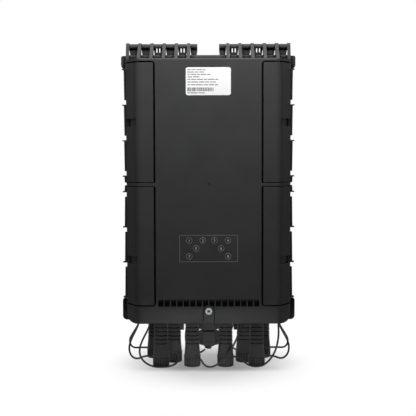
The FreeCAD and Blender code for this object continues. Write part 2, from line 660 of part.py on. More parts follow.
def cover_shell():
    shell = cover_block(0, SEAM_Y).cut(cover_block(COVER_WALL, SEAM_Y + EASE))
    adds = [cover_flange(), vent_backing()] + groove_backings()
    inner_y = FRONT_Y + COVER_WALL
    for x in INNER_RIB_XS:
        adds.append(box(x - INNER_RIB / 2, x + INNER_RIB / 2, inner_y - EASE, inner_y + INNER_RIB_DEPTH,
                        PANEL_BOTTOM_Z, TOP_Z - COVER_WALL + EASE))
    reach = HALF_WIDTH - CHAMFER_WIDTH - COVER_WALL
    for row in range(INNER_RIB_ROWS):
        z = PANEL_BOTTOM_Z + (row + 1) * (PANEL_TOP_Z - PANEL_BOTTOM_Z) / (INNER_RIB_ROWS + 1)
        adds.append(box(-reach, reach, inner_y - EASE, inner_y + INNER_RIB_DEPTH,
                        z - INNER_RIB / 2, z + INNER_RIB / 2))
    boss_end = SEAM_Y - RETAINER_THICKNESS - 2 * RETAINER_GAP
    adds.append(rod_y(BOSS_RADIUS, inner_y - EASE, boss_end, 0, SCREW_Z))
    adds += side_lip(-1) + side_lip(1)
    adds += [hinge_arm(side * x) for side in (-1, 1) for x in ARM_XS]
    cuts = panel_grooves() + vent_pockets() + [arch_groove()] + clip_windows() + [label_plate(FRONT_Y - EASE)]
    cuts.append(rod_y(GATE_RADIUS, FRONT_Y - EASE, FRONT_Y + GATE_DEPTH, 0, PANEL_MIDDLE_Z))
    cuts.append(rod_y(SCREW_RADIUS + SCREW_CLEARANCE, FRONT_Y - EASE, SEAM_Y, 0, SCREW_Z))
    seat_y = FRONT_Y - SCREW_HEAD_PROUD + SCREW_HEAD_HEIGHT + WASHER_THICKNESS
    cuts.append(rod_y(COUNTERBORE_RADIUS, FRONT_Y - EASE, seat_y, 0, SCREW_Z))
    cuts.append(rod_x(PIN_RADIUS + PIN_RUNNING, -BODY_WIDTH, BODY_WIDTH, HINGE_Y, HINGE_Z))
    return fuse_all([shell] + adds).cut(cuts)


def rating_label():
    return label_plate(FRONT_Y + LABEL_SUNK)


# Captive screw
def cover_screw():
    head_y = FRONT_Y - SCREW_HEAD_PROUD
    shank_end = RIM_Y + SCREW_ENTRY
    head = rod_y(SCREW_HEAD_RADIUS, head_y, head_y + SCREW_HEAD_HEIGHT, 0, SCREW_Z)
    shank = rod_y(SCREW_RADIUS, head_y + SCREW_HEAD_HEIGHT - EASE, shank_end, 0, SCREW_Z)
    socket = hexagon(SCREW_SOCKET, -EASE, SCREW_SOCKET_DEPTH, 0, 0)
    socket.rotate(V(0, 0, 0), X_AXIS, -90)
    socket.translate(V(0, head_y, SCREW_Z))
    return head.fuse(shank).removeSplitter().cut(socket)


def ring_y(outer, inner, y0, y1, x, z):
    return rod_y(outer, y0, y1, x, z).cut(rod_y(inner, y0, y1, x, z))


def screw_washer():
    y0 = FRONT_Y - SCREW_HEAD_PROUD + SCREW_HEAD_HEIGHT
    return ring_y(SCREW_HEAD_RADIUS, SCREW_RADIUS + PIN_PRESS, y0, y0 + WASHER_THICKNESS, 0, SCREW_Z)


def screw_retainer():
    y1 = SEAM_Y - RETAINER_GAP
    return ring_y(RETAINER_RADIUS, SCREW_RADIUS + PIN_PRESS, y1 - RETAINER_THICKNESS, y1, 0, SCREW_Z)


def screw_insert():
    bore = SCREW_RADIUS + SCREW_CLEARANCE
    return ring_y(SCREW_INSERT_RADIUS, bore, RIM_Y, RIM_Y + SCREW_INSERT_LENGTH, 0, SCREW_Z)


# Hinge
def hinge_pin(side):
    inner = ARM_XS[0] - ARM_THICKNESS / 2 - STUB_LENGTH + PIN_INSET
    outer = ARM_XS[-1] + ARM_THICKNESS / 2 - PIN_RECESS
    x0, x1 = sorted((side * inner, side * outer))
    pin = rod_x(PIN_RADIUS, x0, x1, HINGE_Y, HINGE_Z)
    rims = [edge for edge in pin.Edges if edge.Curve.TypeId == "Part::GeomCircle"]
    return pin.makeChamfer(PIN_CHAMFER, rims)


def knuckle_spans():
    """Where each knuckle of a hinge group starts and stops, from the middle of the box outward."""
    clear = ARM_THICKNESS / 2 + KNUCKLE_GAP
    spans = [(ARM_XS[0] - ARM_THICKNESS / 2 - STUB_LENGTH, ARM_XS[0] - clear)]
    return spans + [(x + clear, x + ARM_PITCH - clear) for x in ARM_XS[:-1]]


def knuckle(x0, x1):
    """Barrel on the hinge axis with a web down to the ridge that draws in at its foot."""
    front = HINGE_Y - KNUCKLE_FRONT
    waist = HINGE_Z - KNUCKLE_BELOW_AXIS
    outline = [(x0 + KNUCKLE_TAPER, RIDGE_Z - EASE), (x0, waist), (x0, HINGE_Z),
               (x1, HINGE_Z), (x1, waist), (x1 - KNUCKLE_TAPER, RIDGE_Z - EASE)]
    web = polygon_prism([V(x, front, z) for x, z in outline], V(0, KNUCKLE_FRONT + BARREL_RADIUS, 0))
    return web.fuse(rod_x(BARREL_RADIUS, x0, x1, HINGE_Y, HINGE_Z))


def hinge_ridge():
    """Wedge along the top of the base with the knuckles of both hinge groups."""
    end = min(ARM_XS[-1] + ARM_THICKNESS / 2 + RIDGE_END, HALF_WIDTH)
    foot_z = TOP_Z - RIM_STEP - BASE_WALL / 2
    wedge = [(RIM_Y, foot_z), (RIM_Y, RIDGE_Z - RIDGE_CHAMFER), (RIM_Y + RIDGE_CHAMFER, RIDGE_Z),
             (RIM_Y + RIDGE_CREST, RIDGE_Z), (RIM_Y + RIDGE_FOOT, foot_z)]
    pieces = [profile_yz(wedge, -end, end)]
    for side in (-1, 1):
        for start, stop in knuckle_spans():
            x0, x1 = sorted((side * start, side * stop))
            pieces.append(knuckle(x0, x1))
    return pieces


def knuckle_slots():
    """Pairs of upright slots through some knuckles, under the pin."""
    cuts = []
    high = HINGE_Z - SLOT_BELOW_AXIS
    for side in (-1, 1):
        for cell in SLOT_CELLS:
            middle = side * (ARM_XS[cell] + ARM_PITCH / 2)
            for offset in (-SLOT_SPACING / 2, SLOT_SPACING / 2):
                x = middle + offset
                cuts.append(box(x - SLOT_WIDTH / 2, x + SLOT_WIDTH / 2, HINGE_Y - 2 * BARREL_RADIUS,
                                HINGE_Y + 2 * BARREL_RADIUS, high - SLOT_HEIGHT, high))
    return cuts


# Base
def corner_ears():
    ears = []
    y0 = RIM_Y + EAR_SETBACK
    spans = [(EASE, TOP_Z - TOP_EAR_HEIGHT + TOP_EAR_RISE, TOP_Z + TOP_EAR_RISE),
             (EAR_ROOT, BOTTOM_Z, BOTTOM_Z + BOTTOM_EAR_HEIGHT)]
    for side in (-1, 1):
        for root, z0, z1 in spans:
            x0, x1 = sorted((side * (HALF_WIDTH - root), side * (HALF_WIDTH + EAR_PROUD)))
            ear = box(x0, x1, y0, y0 + EAR_DEPTH, z0, z1)
            for z, radius in ((z1, EAR_RADIUS), (z0, EAR_TAIL_RADIUS)):
                outer = [edge for edge in edges_along(ear, Y_AXIS)
                         if abs(edge.CenterOfMass.x) > HALF_WIDTH and abs(edge.CenterOfMass.z - z) < EASE]
                ear = ear.makeFillet(radius, outer)
            ears.append(ear)
    return ears


def gasket_ring(side_gap, y0, y1):
    plates = []
    for inset in (GASKET_INSET + side_gap, GASKET_INSET + GASKET_WIDTH - side_gap):
        plates.append(rounded_plate(HALF_WIDTH - inset, BOTTOM_Z + inset, TOP_Z - inset,
                                    CORNER_RADIUS - inset, y0, y1))
    return plates[0].cut(plates[1])


def base_tub():
    step = RIM_STEP
    tub = rounded_plate(HALF_WIDTH - step, FLOOR_Z, TOP_Z - step, TUB_RADIUS, RIM_Y, BACK_Y)
    tub = tub.makeFillet(BACK_RADIUS, [edge for edge in tub.Edges if edge.BoundBox.YMin > BACK_Y - EASE])
    rim = rounded_plate(HALF_WIDTH, BOTTOM_Z, TOP_Z, CORNER_RADIUS, RIM_Y, RIM_Y + RIM_DEPTH,
                        TOP_CORNER_RADIUS)
    inner = step + BASE_WALL
    cavity = rounded_plate(HALF_WIDTH - inner, INNER_FLOOR_Z, TOP_Z - inner, TUB_RADIUS - BASE_WALL,
                           RIM_Y - EASE, INNER_BACK_Y)
    return fuse_all([rim, tub]).cut(cavity)


def base_bosses():
    """Everything that stands up from the inner walls to hold another piece."""
    bosses = []
    inner_end = PAD_Y - INSERT_LENGTH - INSERT_BOSS_WALL
    for x, z in MOUNT_POINTS:
        bosses.append(rod_y(PAD_RADIUS, BACK_Y - EASE, PAD_Y, x, z))
        bosses.append(rod_y(INSERT_RADIUS + INSERT_BOSS_WALL, inner_end, BACK_Y, x, z))
    for x, z in TRAY_SCREW_POINTS:
        bosses.append(rod_y(TRAY_BOSS_RADIUS, TRAY_BACK_Y, INNER_BACK_Y + EASE, x, z))
    clamp_y = GLAND_Y + CLAMP_CABLE_RADIUS / 2
    for x, z in CLAMP_SCREW_POINTS:
        bosses.append(rod_y(TRAY_BOSS_RADIUS, clamp_y, INNER_BACK_Y + EASE, x, z))
    bosses.append(rod_y(BOSS_RADIUS, RIM_Y, RIM_Y + SCREW_BOSS_LENGTH, 0, SCREW_Z))
    bosses.append(box(-BOSS_RADIUS, BOSS_RADIUS, RIM_Y, RIM_Y + SCREW_BOSS_LENGTH, FLOOR_Z + EASE, SCREW_Z))
    half = SPLITTER_WIDTH / 2 + CLIP_CLEARANCE
    reach = half + CLIP_RIB
    shelf_y = INNER_BACK_Y - SPLITTER_THICKNESS
    shelf_z = SPLITTER_Z - CLIP_RIB
    for side in (-1, 1):
        x0, x1 = sorted((side * half, side * reach))
        bosses.append(box(x0, x1, shelf_y, INNER_BACK_Y + EASE, shelf_z, SPLITTER_Z + SPLITTER_HEIGHT))
    bosses.append(box(-reach, reach, shelf_y, INNER_BACK_Y + EASE, shelf_z, SPLITTER_Z))
    return bosses


def rear_rails():
    low = BODY_MIDDLE_Z - MOUNT_SPACING_Z / 2
    high = BODY_MIDDLE_Z + MOUNT_SPACING_Z / 2
    return [box(side * MOUNT_SPACING_X / 2 - RAIL_WIDTH / 2, side * MOUNT_SPACING_X / 2 + RAIL_WIDTH / 2,
                BACK_Y - EASE, BACK_Y + RAIL_PROUD, low, high) for side in (-1, 1)]


def base_shell():
    pegs = [rod_z(PEG_RADIUS, FLOOR_Z - PEG_LENGTH, FLOOR_Z + EASE, x, y) for x, y in PEG_PLACES.values()]
    pegs += [rod_z(POST_RADIUS, FLOOR_Z - POST_LENGTH, FLOOR_Z + EASE, side * POST_X,
                   PORT_FRONT_Y + POST_BEHIND_PORTS) for side in (-1, 1)]
    adds = hinge_ridge() + corner_ears() + base_bosses() + rear_rails() + pegs
    shell = fuse_all([base_tub()] + adds)
    floor_z0, floor_z1 = FLOOR_Z - EASE, INNER_FLOOR_Z + EASE
    cuts = [gasket_ring(0, RIM_Y - EASE, RIM_Y + GASKET_GROOVE_DEPTH)]
    cuts += [rod_z(ADAPTER_THREAD_RADIUS + PORT_HOLE_CLEARANCE, floor_z0, floor_z1, x, y) for x, y in PORTS]
    cuts.append(rod_z(GLAND_THREAD_RADIUS + PORT_HOLE_CLEARANCE, floor_z0, floor_z1, 0, GLAND_Y))
    cuts += [rod_y(INSERT_RADIUS, PAD_Y - INSERT_LENGTH, PAD_Y + EASE, x, z) for x, z in MOUNT_POINTS]
    pilot = TRAY_SCREW_RADIUS + SCREW_FIT
    tray_pilot_end = TRAY_BACK_Y + TRAY_SCREW_LENGTH - TRAY_WALL
    cuts += [rod_y(pilot, TRAY_BACK_Y - EASE, tray_pilot_end, x, z) for x, z in TRAY_SCREW_POINTS]
    clamp_y = GLAND_Y + CLAMP_CABLE_RADIUS / 2
    clamp_pilot_end = clamp_y + CLAMP_SCREW_LENGTH - CLAMP_THICKNESS
    cuts += [rod_y(pilot, clamp_y - EASE, clamp_pilot_end, x, z) for x, z in CLAMP_SCREW_POINTS]
    cuts.append(rod_y(SCREW_INSERT_RADIUS, RIM_Y - EASE, RIM_Y + SCREW_INSERT_LENGTH, 0, SCREW_Z))
    cuts.append(rod_x(PIN_RADIUS + PIN_PRESS, -BODY_WIDTH, BODY_WIDTH, HINGE_Y, HINGE_Z))
    return shell.cut(cuts + knuckle_slots())


def rim_gasket():
    return gasket_ring(GASKET_SIDE_GAP, SEAM_Y + GASKET_TOP_GAP, RIM_Y + GASKET_GROOVE_DEPTH)


def mount_inserts():
    y0 = PAD_Y - INSERT_LENGTH
    return group([ring_y(INSERT_RADIUS, INSERT_BORE, y0, PAD_Y, x, z) for x, z in MOUNT_POINTS])


# Dust caps and ports
def dust_cap(x, y):
    """Ringed neck over a plain cone, a groove for the tether's loop and a knurled end."""
    loop_top = KNURL_HEIGHT + LOOP_GROOVE_HEIGHT
    cone_top = loop_top + CONE_HEIGHT
    outline = [(0, 0), (CAP_END_RADIUS - CAP_EDGE, 0), (CAP_END_RADIUS, CAP_EDGE),
               (CAP_END_RADIUS, KNURL_HEIGHT), (LOOP_GROOVE_RADIUS, KNURL_HEIGHT),
               (LOOP_GROOVE_RADIUS, loop_top), (CAP_CONE_RADIUS, loop_top)]
    taper = (CAP_NECK_RADIUS - CAP_TOP_RADIUS) / RING_COUNT
    for ring in range(RING_COUNT):
        z = cone_top + ring * RING_PITCH
        radius = CAP_NECK_RADIUS - ring * taper
        floor = radius - RING_DEPTH
        rise = RING_PITCH - RING_GROOVE
        outline += [(radius, z), (radius, z + rise), (floor, z + rise + RING_GROOVE / 4),
                    (floor, z + RING_PITCH - RING_GROOVE / 4)]
    neck_z = cone_top + RING_COUNT * RING_PITCH
    outline += [(CAP_TOP_RADIUS, neck_z), (CAP_TOP_RADIUS, CAP_LENGTH), (CAP_BORE_RADIUS, CAP_LENGTH),
                (CAP_BORE_RADIUS, CAP_FLOOR), (0, CAP_FLOOR)]
    cap = revolved(outline, 0, 0)
    cap = cap.cut(flutes(CAP_END_RADIUS, KNURL_DEPTH, KNURL_COUNT, -EASE, KNURL_HEIGHT))
    cap.translate(V(x, y, 0))
    return cap


def plug_pocket(x, y, top_z):
    half_x = PLUG_WIDTH / 2 + PLUG_CLEARANCE
    half_y = PLUG_THICKNESS / 2 + PLUG_CLEARANCE
    return box(x - half_x, x + half_x, y - half_y, y + half_y, top_z - PLUG_SOCKET_DEPTH, top_z + EASE)


def adapter_top_z():
    return INNER_FLOOR_Z + NUT_HEIGHT + THREAD_ABOVE_NUT


def port_adapter(x, y):
    """Barrel under the dust cap, hexagon flange below the floor and threaded neck through it."""
    barrel_bottom = CAP_FLOOR + BARREL_TO_CAP_FLOOR
    barrel = rod_z(CAP_BORE_RADIUS - BARREL_CLEARANCE, barrel_bottom, FLANGE_Z + EASE, x, y)
    flange = hexagon(FLANGE_HEX, FLANGE_Z, FLANGE_Z + ADAPTER_FLANGE, x, y)
    neck = rod_z(ADAPTER_THREAD_RADIUS, FLANGE_Z + ADAPTER_FLANGE - EASE, adapter_top_z(), x, y)
    ferrule = rod_z(FERRULE_BORE, barrel_bottom - EASE, barrel_bottom + FERRULE_DEPTH, x, y)
    return fuse_all([barrel, flange, neck]).cut([plug_pocket(x, y, adapter_top_z()), ferrule])


def port_nut(x, y):
    high = INNER_FLOOR_Z + NUT_HEIGHT
    nut = hexagon(FLANGE_HEX, INNER_FLOOR_Z, high, x, y)
    return nut.cut(rod_z(ADAPTER_THREAD_RADIUS + NUT_CLEARANCE, INNER_FLOOR_Z - EASE, high + EASE, x, y))


def port_seal(x, y):
    z0 = FLANGE_Z + ADAPTER_FLANGE
    ring = rod_z(SEAL_RADIUS, z0, FLOOR_Z, x, y)
    return ring.cut(rod_z(ADAPTER_THREAD_RADIUS + PORT_HOLE_CLEARANCE, z0 - EASE, FLOOR_Z + EASE, x, y))


def pigtail_plug(x, y):
    z0 = adapter_top_z() - PLUG_SOCKET_DEPTH
    half_x, half_y = PLUG_WIDTH / 2, PLUG_THICKNESS / 2
    body = box(x - half_x, x + half_x, y - half_y, y + half_y, z0, z0 + PLUG_LENGTH)
    boot = Part.makeCone(BOOT_RADIUS, BOOT_TIP_RADIUS, BOOT_LENGTH, V(x, y, z0 + PLUG_LENGTH - EASE), Z_AXIS)
    return body.fuse(boot)


# Feeder gland
def feeder_gland_body():
    flange = hexagon(GLAND_HEX, FLOOR_Z - GLAND_FLANGE, FLOOR_Z, 0, GLAND_Y)
    top = INNER_FLOOR_Z + GLAND_LOCKNUT_HEIGHT + THREAD_ABOVE_NUT
    stem = rod_z(GLAND_THREAD_RADIUS, GLAND_STEM_Z, top, 0, GLAND_Y)
    bore = rod_z(GLAND_BORE, GLAND_STEM_Z - EASE, top + EASE, 0, GLAND_Y)
    return fuse_all([flange, stem]).cut(bore)


def gland_locknut():
    nut = hexagon(GLAND_HEX, INNER_FLOOR_Z, INNER_FLOOR_Z + GLAND_LOCKNUT_HEIGHT, 0, GLAND_Y)
    return nut.cut(rod_z(GLAND_THREAD_RADIUS + NUT_CLEARANCE, INNER_FLOOR_Z - EASE,
                         INNER_FLOOR_Z + GLAND_LOCKNUT_HEIGHT + EASE, 0, GLAND_Y))


def feeder_gland_nut():
    """Hexagon compression nut with a round collar and an inner lip under the stem."""
    low, high = GLAND_NUT_BOTTOM_Z, GLAND_NUT_TOP_Z
    grip = hexagon(GLAND_HEX, low + GLAND_NUT_COLLAR - EASE, high, 0, GLAND_Y)
    collar = rod_z(GLAND_NUT_COLLAR_RADIUS, low, low + GLAND_NUT_COLLAR, 0, GLAND_Y)
    thread = rod_z(GLAND_THREAD_RADIUS + BARREL_CLEARANCE, low + GLAND_NUT_LIP, high + EASE, 0, GLAND_Y)
    opening = rod_z(GLAND_BORE + BARREL_CLEARANCE, low - EASE, high, 0, GLAND_Y)
    return fuse_all([grip, collar]).cut([thread, opening])


def tether_route(name):
    """The drawn route carried along by its two ends, whose runs keep their direction."""
    drawn = [V(*point) for point in TETHER_ROUTES[name]]
    x, y = PEG_PLACES[name]
    start_shift = V(x, y, FLOOR_Z - PEG_LENGTH) - drawn[0]
    end_shift = lug_end(name) - drawn[-1]
    middle_runs = len(drawn) - 3
    points = []
    for index, point in enumerate(drawn):
        share = min(max((index - 1) / middle_runs, 0), 1)
        points.append(point + start_shift * (1 - share) + end_shift * share)
    return points


def lug_end(name):
    """Where a tether meets the lug of its cap's loop, or of the gland's plug."""
    if name == "plug_tether":
        return V(0, GLAND_Y, GLAND_HEAD_Z) + V(*PLUG_LUG_OFFSET)
    index = int(name[-1]) - 1
    x, y = PORTS[index]
    angle = math.radians(LUG_ANGLES[index])
    return V(x + LUG_REACH * math.cos(angle), y + LUG_REACH * math.sin(angle),
             KNURL_HEIGHT + LOOP_GROOVE_HEIGHT / 2)


def lug_at(route):
    """Short peg that carries on from a route's last point, in the direction of its last run."""
    return Part.makeCylinder(LUG_RADIUS, LUG_LENGTH, route[-1], route[-1] - route[-2])


def feeder_gland_plug():
    head_top = GLAND_NUT_BOTTOM_Z
    pin = rod_z(GLAND_BORE - GLAND_PLUG_CLEARANCE, head_top - EASE, FLOOR_Z, 0, GLAND_Y)
    head = rod_z(GLAND_PLUG_HEAD, GLAND_HEAD_Z, head_top, 0, GLAND_Y)
    tail = rod_z(GLAND_TAIL_RADIUS, GLAND_HEAD_Z - GLAND_TAIL_LENGTH, GLAND_HEAD_Z + EASE, 0, GLAND_Y)
    return fuse_all([pin, head, tail, lug_at(tether_route("plug_tether"))])


# Inside the base
def splice_tray():
    """Open-fronted tray with two half-round fibre spools."""
    half = TRAY_WIDTH / 2
    tray = rounded_plate(half, TRAY_BOTTOM_Z, TRAY_TOP_Z, TRAY_RADIUS, TRAY_FRONT_Y, TRAY_BACK_Y)
    inner = rounded_plate(half - TRAY_WALL, TRAY_BOTTOM_Z + TRAY_WALL, TRAY_TOP_Z - TRAY_WALL,
                          TRAY_RADIUS - TRAY_WALL, TRAY_FRONT_Y - EASE, TRAY_BACK_Y - TRAY_WALL)
    tray = tray.cut(inner)
    spools = []
    for side in (-1, 1):
        spool = ring_y(SPOOL_RADIUS, SPOOL_RADIUS - TRAY_WALL, TRAY_FRONT_Y, TRAY_BACK_Y - TRAY_WALL + EASE,
                       0, TRAY_MIDDLE_Z + side * SPOOL_SPACING / 2)
        z0, z1 = sorted((TRAY_MIDDLE_Z + side * SPOOL_SPACING / 2, TRAY_MIDDLE_Z + side * TRAY_HEIGHT))
        spools.append(spool.common(box(-half, half, TRAY_FRONT_Y, TRAY_BACK_Y, z0, z1)))
    tray = fuse_all([tray] + spools)
    return tray.cut([rod_y(TRAY_SCREW_RADIUS + SCREW_FIT, TRAY_FRONT_Y - EASE, TRAY_BACK_Y + EASE, x, z)
                     for x, z in TRAY_SCREW_POINTS])


def tray_lid():
    """Clear plate on the tray's walls, cut away over the four screws."""
    half = TRAY_WIDTH / 2
    y0 = TRAY_FRONT_Y - LID_THICKNESS
    lid = rounded_plate(half, TRAY_BOTTOM_Z, TRAY_TOP_Z, TRAY_RADIUS, y0, TRAY_FRONT_Y)
    cuts = []
    for x, z in TRAY_SCREW_POINTS:
        cuts.append(rod_y(LID_CORNER_CUT / 2, y0 - EASE, TRAY_FRONT_Y + EASE, x, z))
    return lid.cut(cuts)


def splice_holder():
    y1 = TRAY_BACK_Y - TRAY_WALL
    y0 = y1 - HOLDER_THICKNESS
    low = TRAY_MIDDLE_Z - HOLDER_HEIGHT / 2
    holder = box(-HOLDER_WIDTH / 2, HOLDER_WIDTH / 2, y0, y1, low, low + HOLDER_HEIGHT)
    pitch = HOLDER_HEIGHT / HOLDER_SLOTS
    slots = []
    for index in range(HOLDER_SLOTS):
        z0 = low + (index + 0.5) * pitch - HOLDER_SLOT / 2
        slots.append(box(-HOLDER_WIDTH, HOLDER_WIDTH, y0 - EASE, y1 - TRAY_WALL, z0, z0 + HOLDER_SLOT))
    return holder.cut(slots)


def machine_screw(x, z, seat_y, length):
    head = rod_y(TRAY_SCREW_HEAD, seat_y - TRAY_SCREW_HEAD_HEIGHT, seat_y, x, z)
    return head.fuse(rod_y(TRAY_SCREW_RADIUS, seat_y - EASE, seat_y + length, x, z)).removeSplitter()


def tray_screws():
    seat_y = TRAY_BACK_Y - TRAY_WALL
    return group([machine_screw(x, z, seat_y, TRAY_SCREW_LENGTH - EASE) for x, z in TRAY_SCREW_POINTS])


def splitter_module():
    half = SPLITTER_WIDTH / 2
    block = box(-half, half, INNER_BACK_Y - SPLITTER_THICKNESS, INNER_BACK_Y,
                SPLITTER_Z, SPLITTER_Z + SPLITTER_HEIGHT)
    return block.makeChamfer(EASE, edges_along(block, X_AXIS))


def cable_clamp():
    """Saddle that holds the feeder cable against its two bosses."""
    y1 = GLAND_Y + CLAMP_CABLE_RADIUS / 2
    half = CLAMP_WIDTH / 2
    bar = box(-half, half, y1 - CLAMP_THICKNESS, y1, CLAMP_Z - CLAMP_BAR / 2, CLAMP_Z + CLAMP_BAR / 2)
    bar = bar.makeFillet(CLAMP_BAR / 2 - EASE, edges_along(bar, Y_AXIS))
    cable_y = y1 + CLAMP_CABLE_RADIUS / 2
    groove = rod_z(CLAMP_CABLE_RADIUS, CLAMP_Z - CLAMP_BAR, CLAMP_Z + CLAMP_BAR, 0, cable_y)
    holes = [rod_y(TRAY_SCREW_RADIUS + SCREW_FIT, y1 - CLAMP_THICKNESS - EASE, y1 + EASE, x, z)
             for x, z in CLAMP_SCREW_POINTS]
    return bar.cut([groove] + holes)


def clamp_screws():
    seat_y = GLAND_Y + CLAMP_CABLE_RADIUS / 2 - CLAMP_THICKNESS
    return group([machine_screw(x, z, seat_y, CLAMP_SCREW_LENGTH - EASE) for x, z in CLAMP_SCREW_POINTS])


# Tethers
def tether_loop(port, route):
    x, y = port
    middle = KNURL_HEIGHT + LOOP_GROOVE_HEIGHT / 2
    z0, z1 = middle - LOOP_THICKNESS / 2, middle + LOOP_THICKNESS / 2
    ring = rod_z(LOOP_RADIUS, z0, z1, x, y)
    ring = ring.fuse(lug_at(route))
    return ring.cut(rod_z(LOOP_GROOVE_RADIUS + LOOP_CLEARANCE, z0 - EASE, z1 + EASE, x, y)).removeSplitter()


def tether_loops():
    routes = [tether_route("cap_tether_%d" % (index + 1)) for index in range(len(PORTS))]
    return group([tether_loop(port, route) for port, route in zip(PORTS, routes)])


def tether_path(points):
    """Straight runs joined by tangent arcs as large as the runs allow; returns the wire and the radii."""
    edges, radii = [], []
    start = points[0]
    for before, corner, after in zip(points, points[1:], points[2:]):
        back, ahead = (before - corner), (after - corner)
        reach = RUN_SHARE * min(back.Length, ahead.Length)
        half_turn = (math.pi - back.getAngle(ahead)) / 2
        back.normalize()
        ahead.normalize()
        radius = reach / math.tan(half_turn)
        bisector = (back + ahead).normalize()
        centre_distance = math.hypot(radius, reach)
        middle = corner + bisector * (centre_distance - radius)
        enter, leave = corner + back * reach, corner + ahead * reach
        edges += [Part.LineSegment(start, enter).toShape(), Part.Arc(enter, middle, leave).toShape()]
        radii.append(radius)
        start = leave
    edges.append(Part.LineSegment(start, points[-1]).toShape())
    return Part.Wire(edges), radii


def tether(name):
    points = tether_route(name)
    path, radii = tether_path(points)
    section = Part.Wire(Part.makeCircle(TETHER_DIAMETER / 2, points[0], points[1] - points[0]))
    tube = path.makePipeShell([section], True, False)
    expected = math.pi * TETHER_DIAMETER ** 2 / 4 * path.Length
    print("%s length %.1f, radii %.1f to %.1f, volume ratio %.4f"
          % (name, path.Length, min(radii), max(radii), tube.Volume / expected))
    return tube


def all_parts():
    parts = {
        "base_shell": base_shell(),
        "rim_gasket": rim_gasket(),
        "mount_inserts": mount_inserts(),
        "screw_insert": screw_insert(),
        "hinge_pin_left": hinge_pin(-1),
        "hinge_pin_right": hinge_pin(1),
        "cover_shell": cover_shell(),
        "rating_label": rating_label(),
        "cover_screw": cover_screw(),
        "screw_washer": screw_washer(),
        "screw_retainer": screw_retainer(),
        "port_nuts": group([port_nut(x, y) for x, y in PORTS]),
        "port_seals": group([port_seal(x, y) for x, y in PORTS]),
        "pigtail_plugs": group([pigtail_plug(x, y) for x, y in PORTS]),
        "feeder_gland_body": feeder_gland_body(),
        "feeder_gland_nut": feeder_gland_nut(),
        "feeder_gland_plug": feeder_gland_plug(),
        "gland_locknut": gland_locknut(),
        "splice_tray": splice_tray(),
        "tray_lid": tray_lid(),
        "tray_screws": tray_screws(),
        "splice_holder": splice_holder(),
        "splitter_module": splitter_module(),
        "cable_clamp": cable_clamp(),
        "clamp_screws": clamp_screws(),
        "tether_loops": tether_loops(),
    }
    for index, (x, y) in enumerate(PORTS, start=1):
        parts["dust_cap_%d" % index] = dust_cap(x, y)
        parts["port_adapter_%d" % index] = port_adapter(x, y)
    for name in TETHER_ROUTES:
        parts[name] = tether(name)
    return parts


def main():
    os.makedirs("parts", exist_ok=True)
    for name, shape in all_parts().items():
        shape.exportStep("parts/%s.step" % name)


main()
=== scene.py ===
"""Looks of a fibre distribution hub box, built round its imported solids.

Laid out as an add-on: finishes for every solid, the hanging tethers, the printed label and port map,
the webs across the cover's grooves, the screw threads and a plain studio stage. Metres, +Z up, and the
cover faces -Y.
"""

import math
import random

import bmesh
import bpy
from mathutils import Matrix, Vector


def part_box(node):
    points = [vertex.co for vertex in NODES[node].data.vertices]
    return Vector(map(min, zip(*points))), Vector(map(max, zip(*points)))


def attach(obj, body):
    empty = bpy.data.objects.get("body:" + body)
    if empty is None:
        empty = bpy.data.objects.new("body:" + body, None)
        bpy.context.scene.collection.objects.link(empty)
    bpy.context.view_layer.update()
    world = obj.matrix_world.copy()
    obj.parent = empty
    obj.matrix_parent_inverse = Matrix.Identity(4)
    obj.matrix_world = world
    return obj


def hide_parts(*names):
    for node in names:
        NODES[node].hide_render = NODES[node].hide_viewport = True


bl_info = {
    "name": "Fibre hub box looks",
    "version": (1, 0, 0),
    "blender": (4, 5, 0),
    "location": "View3D > Sidebar > Hub box",
    "description": "Finishes, tethers, print, webs, threads and stage for a fibre distribution hub box",
    "category": "Object",
}

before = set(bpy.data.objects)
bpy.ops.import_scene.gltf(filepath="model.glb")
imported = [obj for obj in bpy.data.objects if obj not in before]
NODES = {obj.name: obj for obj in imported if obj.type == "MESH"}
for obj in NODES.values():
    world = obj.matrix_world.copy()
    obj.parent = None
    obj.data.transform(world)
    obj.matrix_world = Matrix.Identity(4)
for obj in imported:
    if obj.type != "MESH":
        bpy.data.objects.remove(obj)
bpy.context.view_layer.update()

MM = 0.001
PORT_COUNT = 8
COVER_FACE_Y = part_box("cover_shell")[0].y
INK_PROUD = 0.02 * MM
INK_SUNK = 0.06 * MM
WHITE = (1.0, 1.0, 1.0, 1.0)
QUARTER_TURN = math.pi / 2

# Fineness of the meshes that are made here
WELD = 1e-7
RING_STEPS = 48
THREAD_STEPS = 28
RIDGE_SIDES = 4
CORD_STEPS = 10
CORD_ROUNDNESS = 5
NUMBER_STEPS = 4
FONT_SIZE_PER_HEIGHT = 1.4

# Painted shade in grooves and recesses: how far it looks, and the open shares at which a surface is black and
# fully unshaded.
# The gain is what full painted shade leaves of a colour
SHELL_PAINTED_SHADE = (10 * MM, 0.4, 0.9)
CAP_PAINTED_SHADE = (4 * MM, 0.65, 0.95)
METAL_PAINTED_SHADE = (3 * MM, 0.4, 0.9)
PAINTED_SHADE_SAMPLES = 8
PAINTED_SHADE_GAIN = 0.06

# Paler edges, partly wear and partly a painted highlight: how far the rounded normal agrees with the true one
# where the paling is full and where it ends
EDGE_RANGE = (0.90, 0.995)
EDGE_SAMPLES = 6

# Moulded plastic: its flow clouds, how dark and pale they get, its speckles and the spacing of its pits
CLOUD_SIZE = 60 * MM
CLOUD_GAINS = (0.9, 1.1)
SPECKLE_SHARE = 0.35
SPECKLE_GAIN = 1.35
PITS_PER_GRAIN = 0.6

# Worked metal: how much finer its streaks are along each axis, and the softness of its edges
TURNED_STREAK = (1.0, 12.0, 1.0)
DRAWN_STREAK = (0.1, 3.0, 3.0)
BRUSHED_STREAK = (0.08, 6.0, 6.0)
METAL_EDGE = 0.25 * MM

# Clear lid: its hairline scratches and its refraction
HAIRLINE_STREAK = (1.0, 1.0, 40.0)
LID_IOR = 1.49

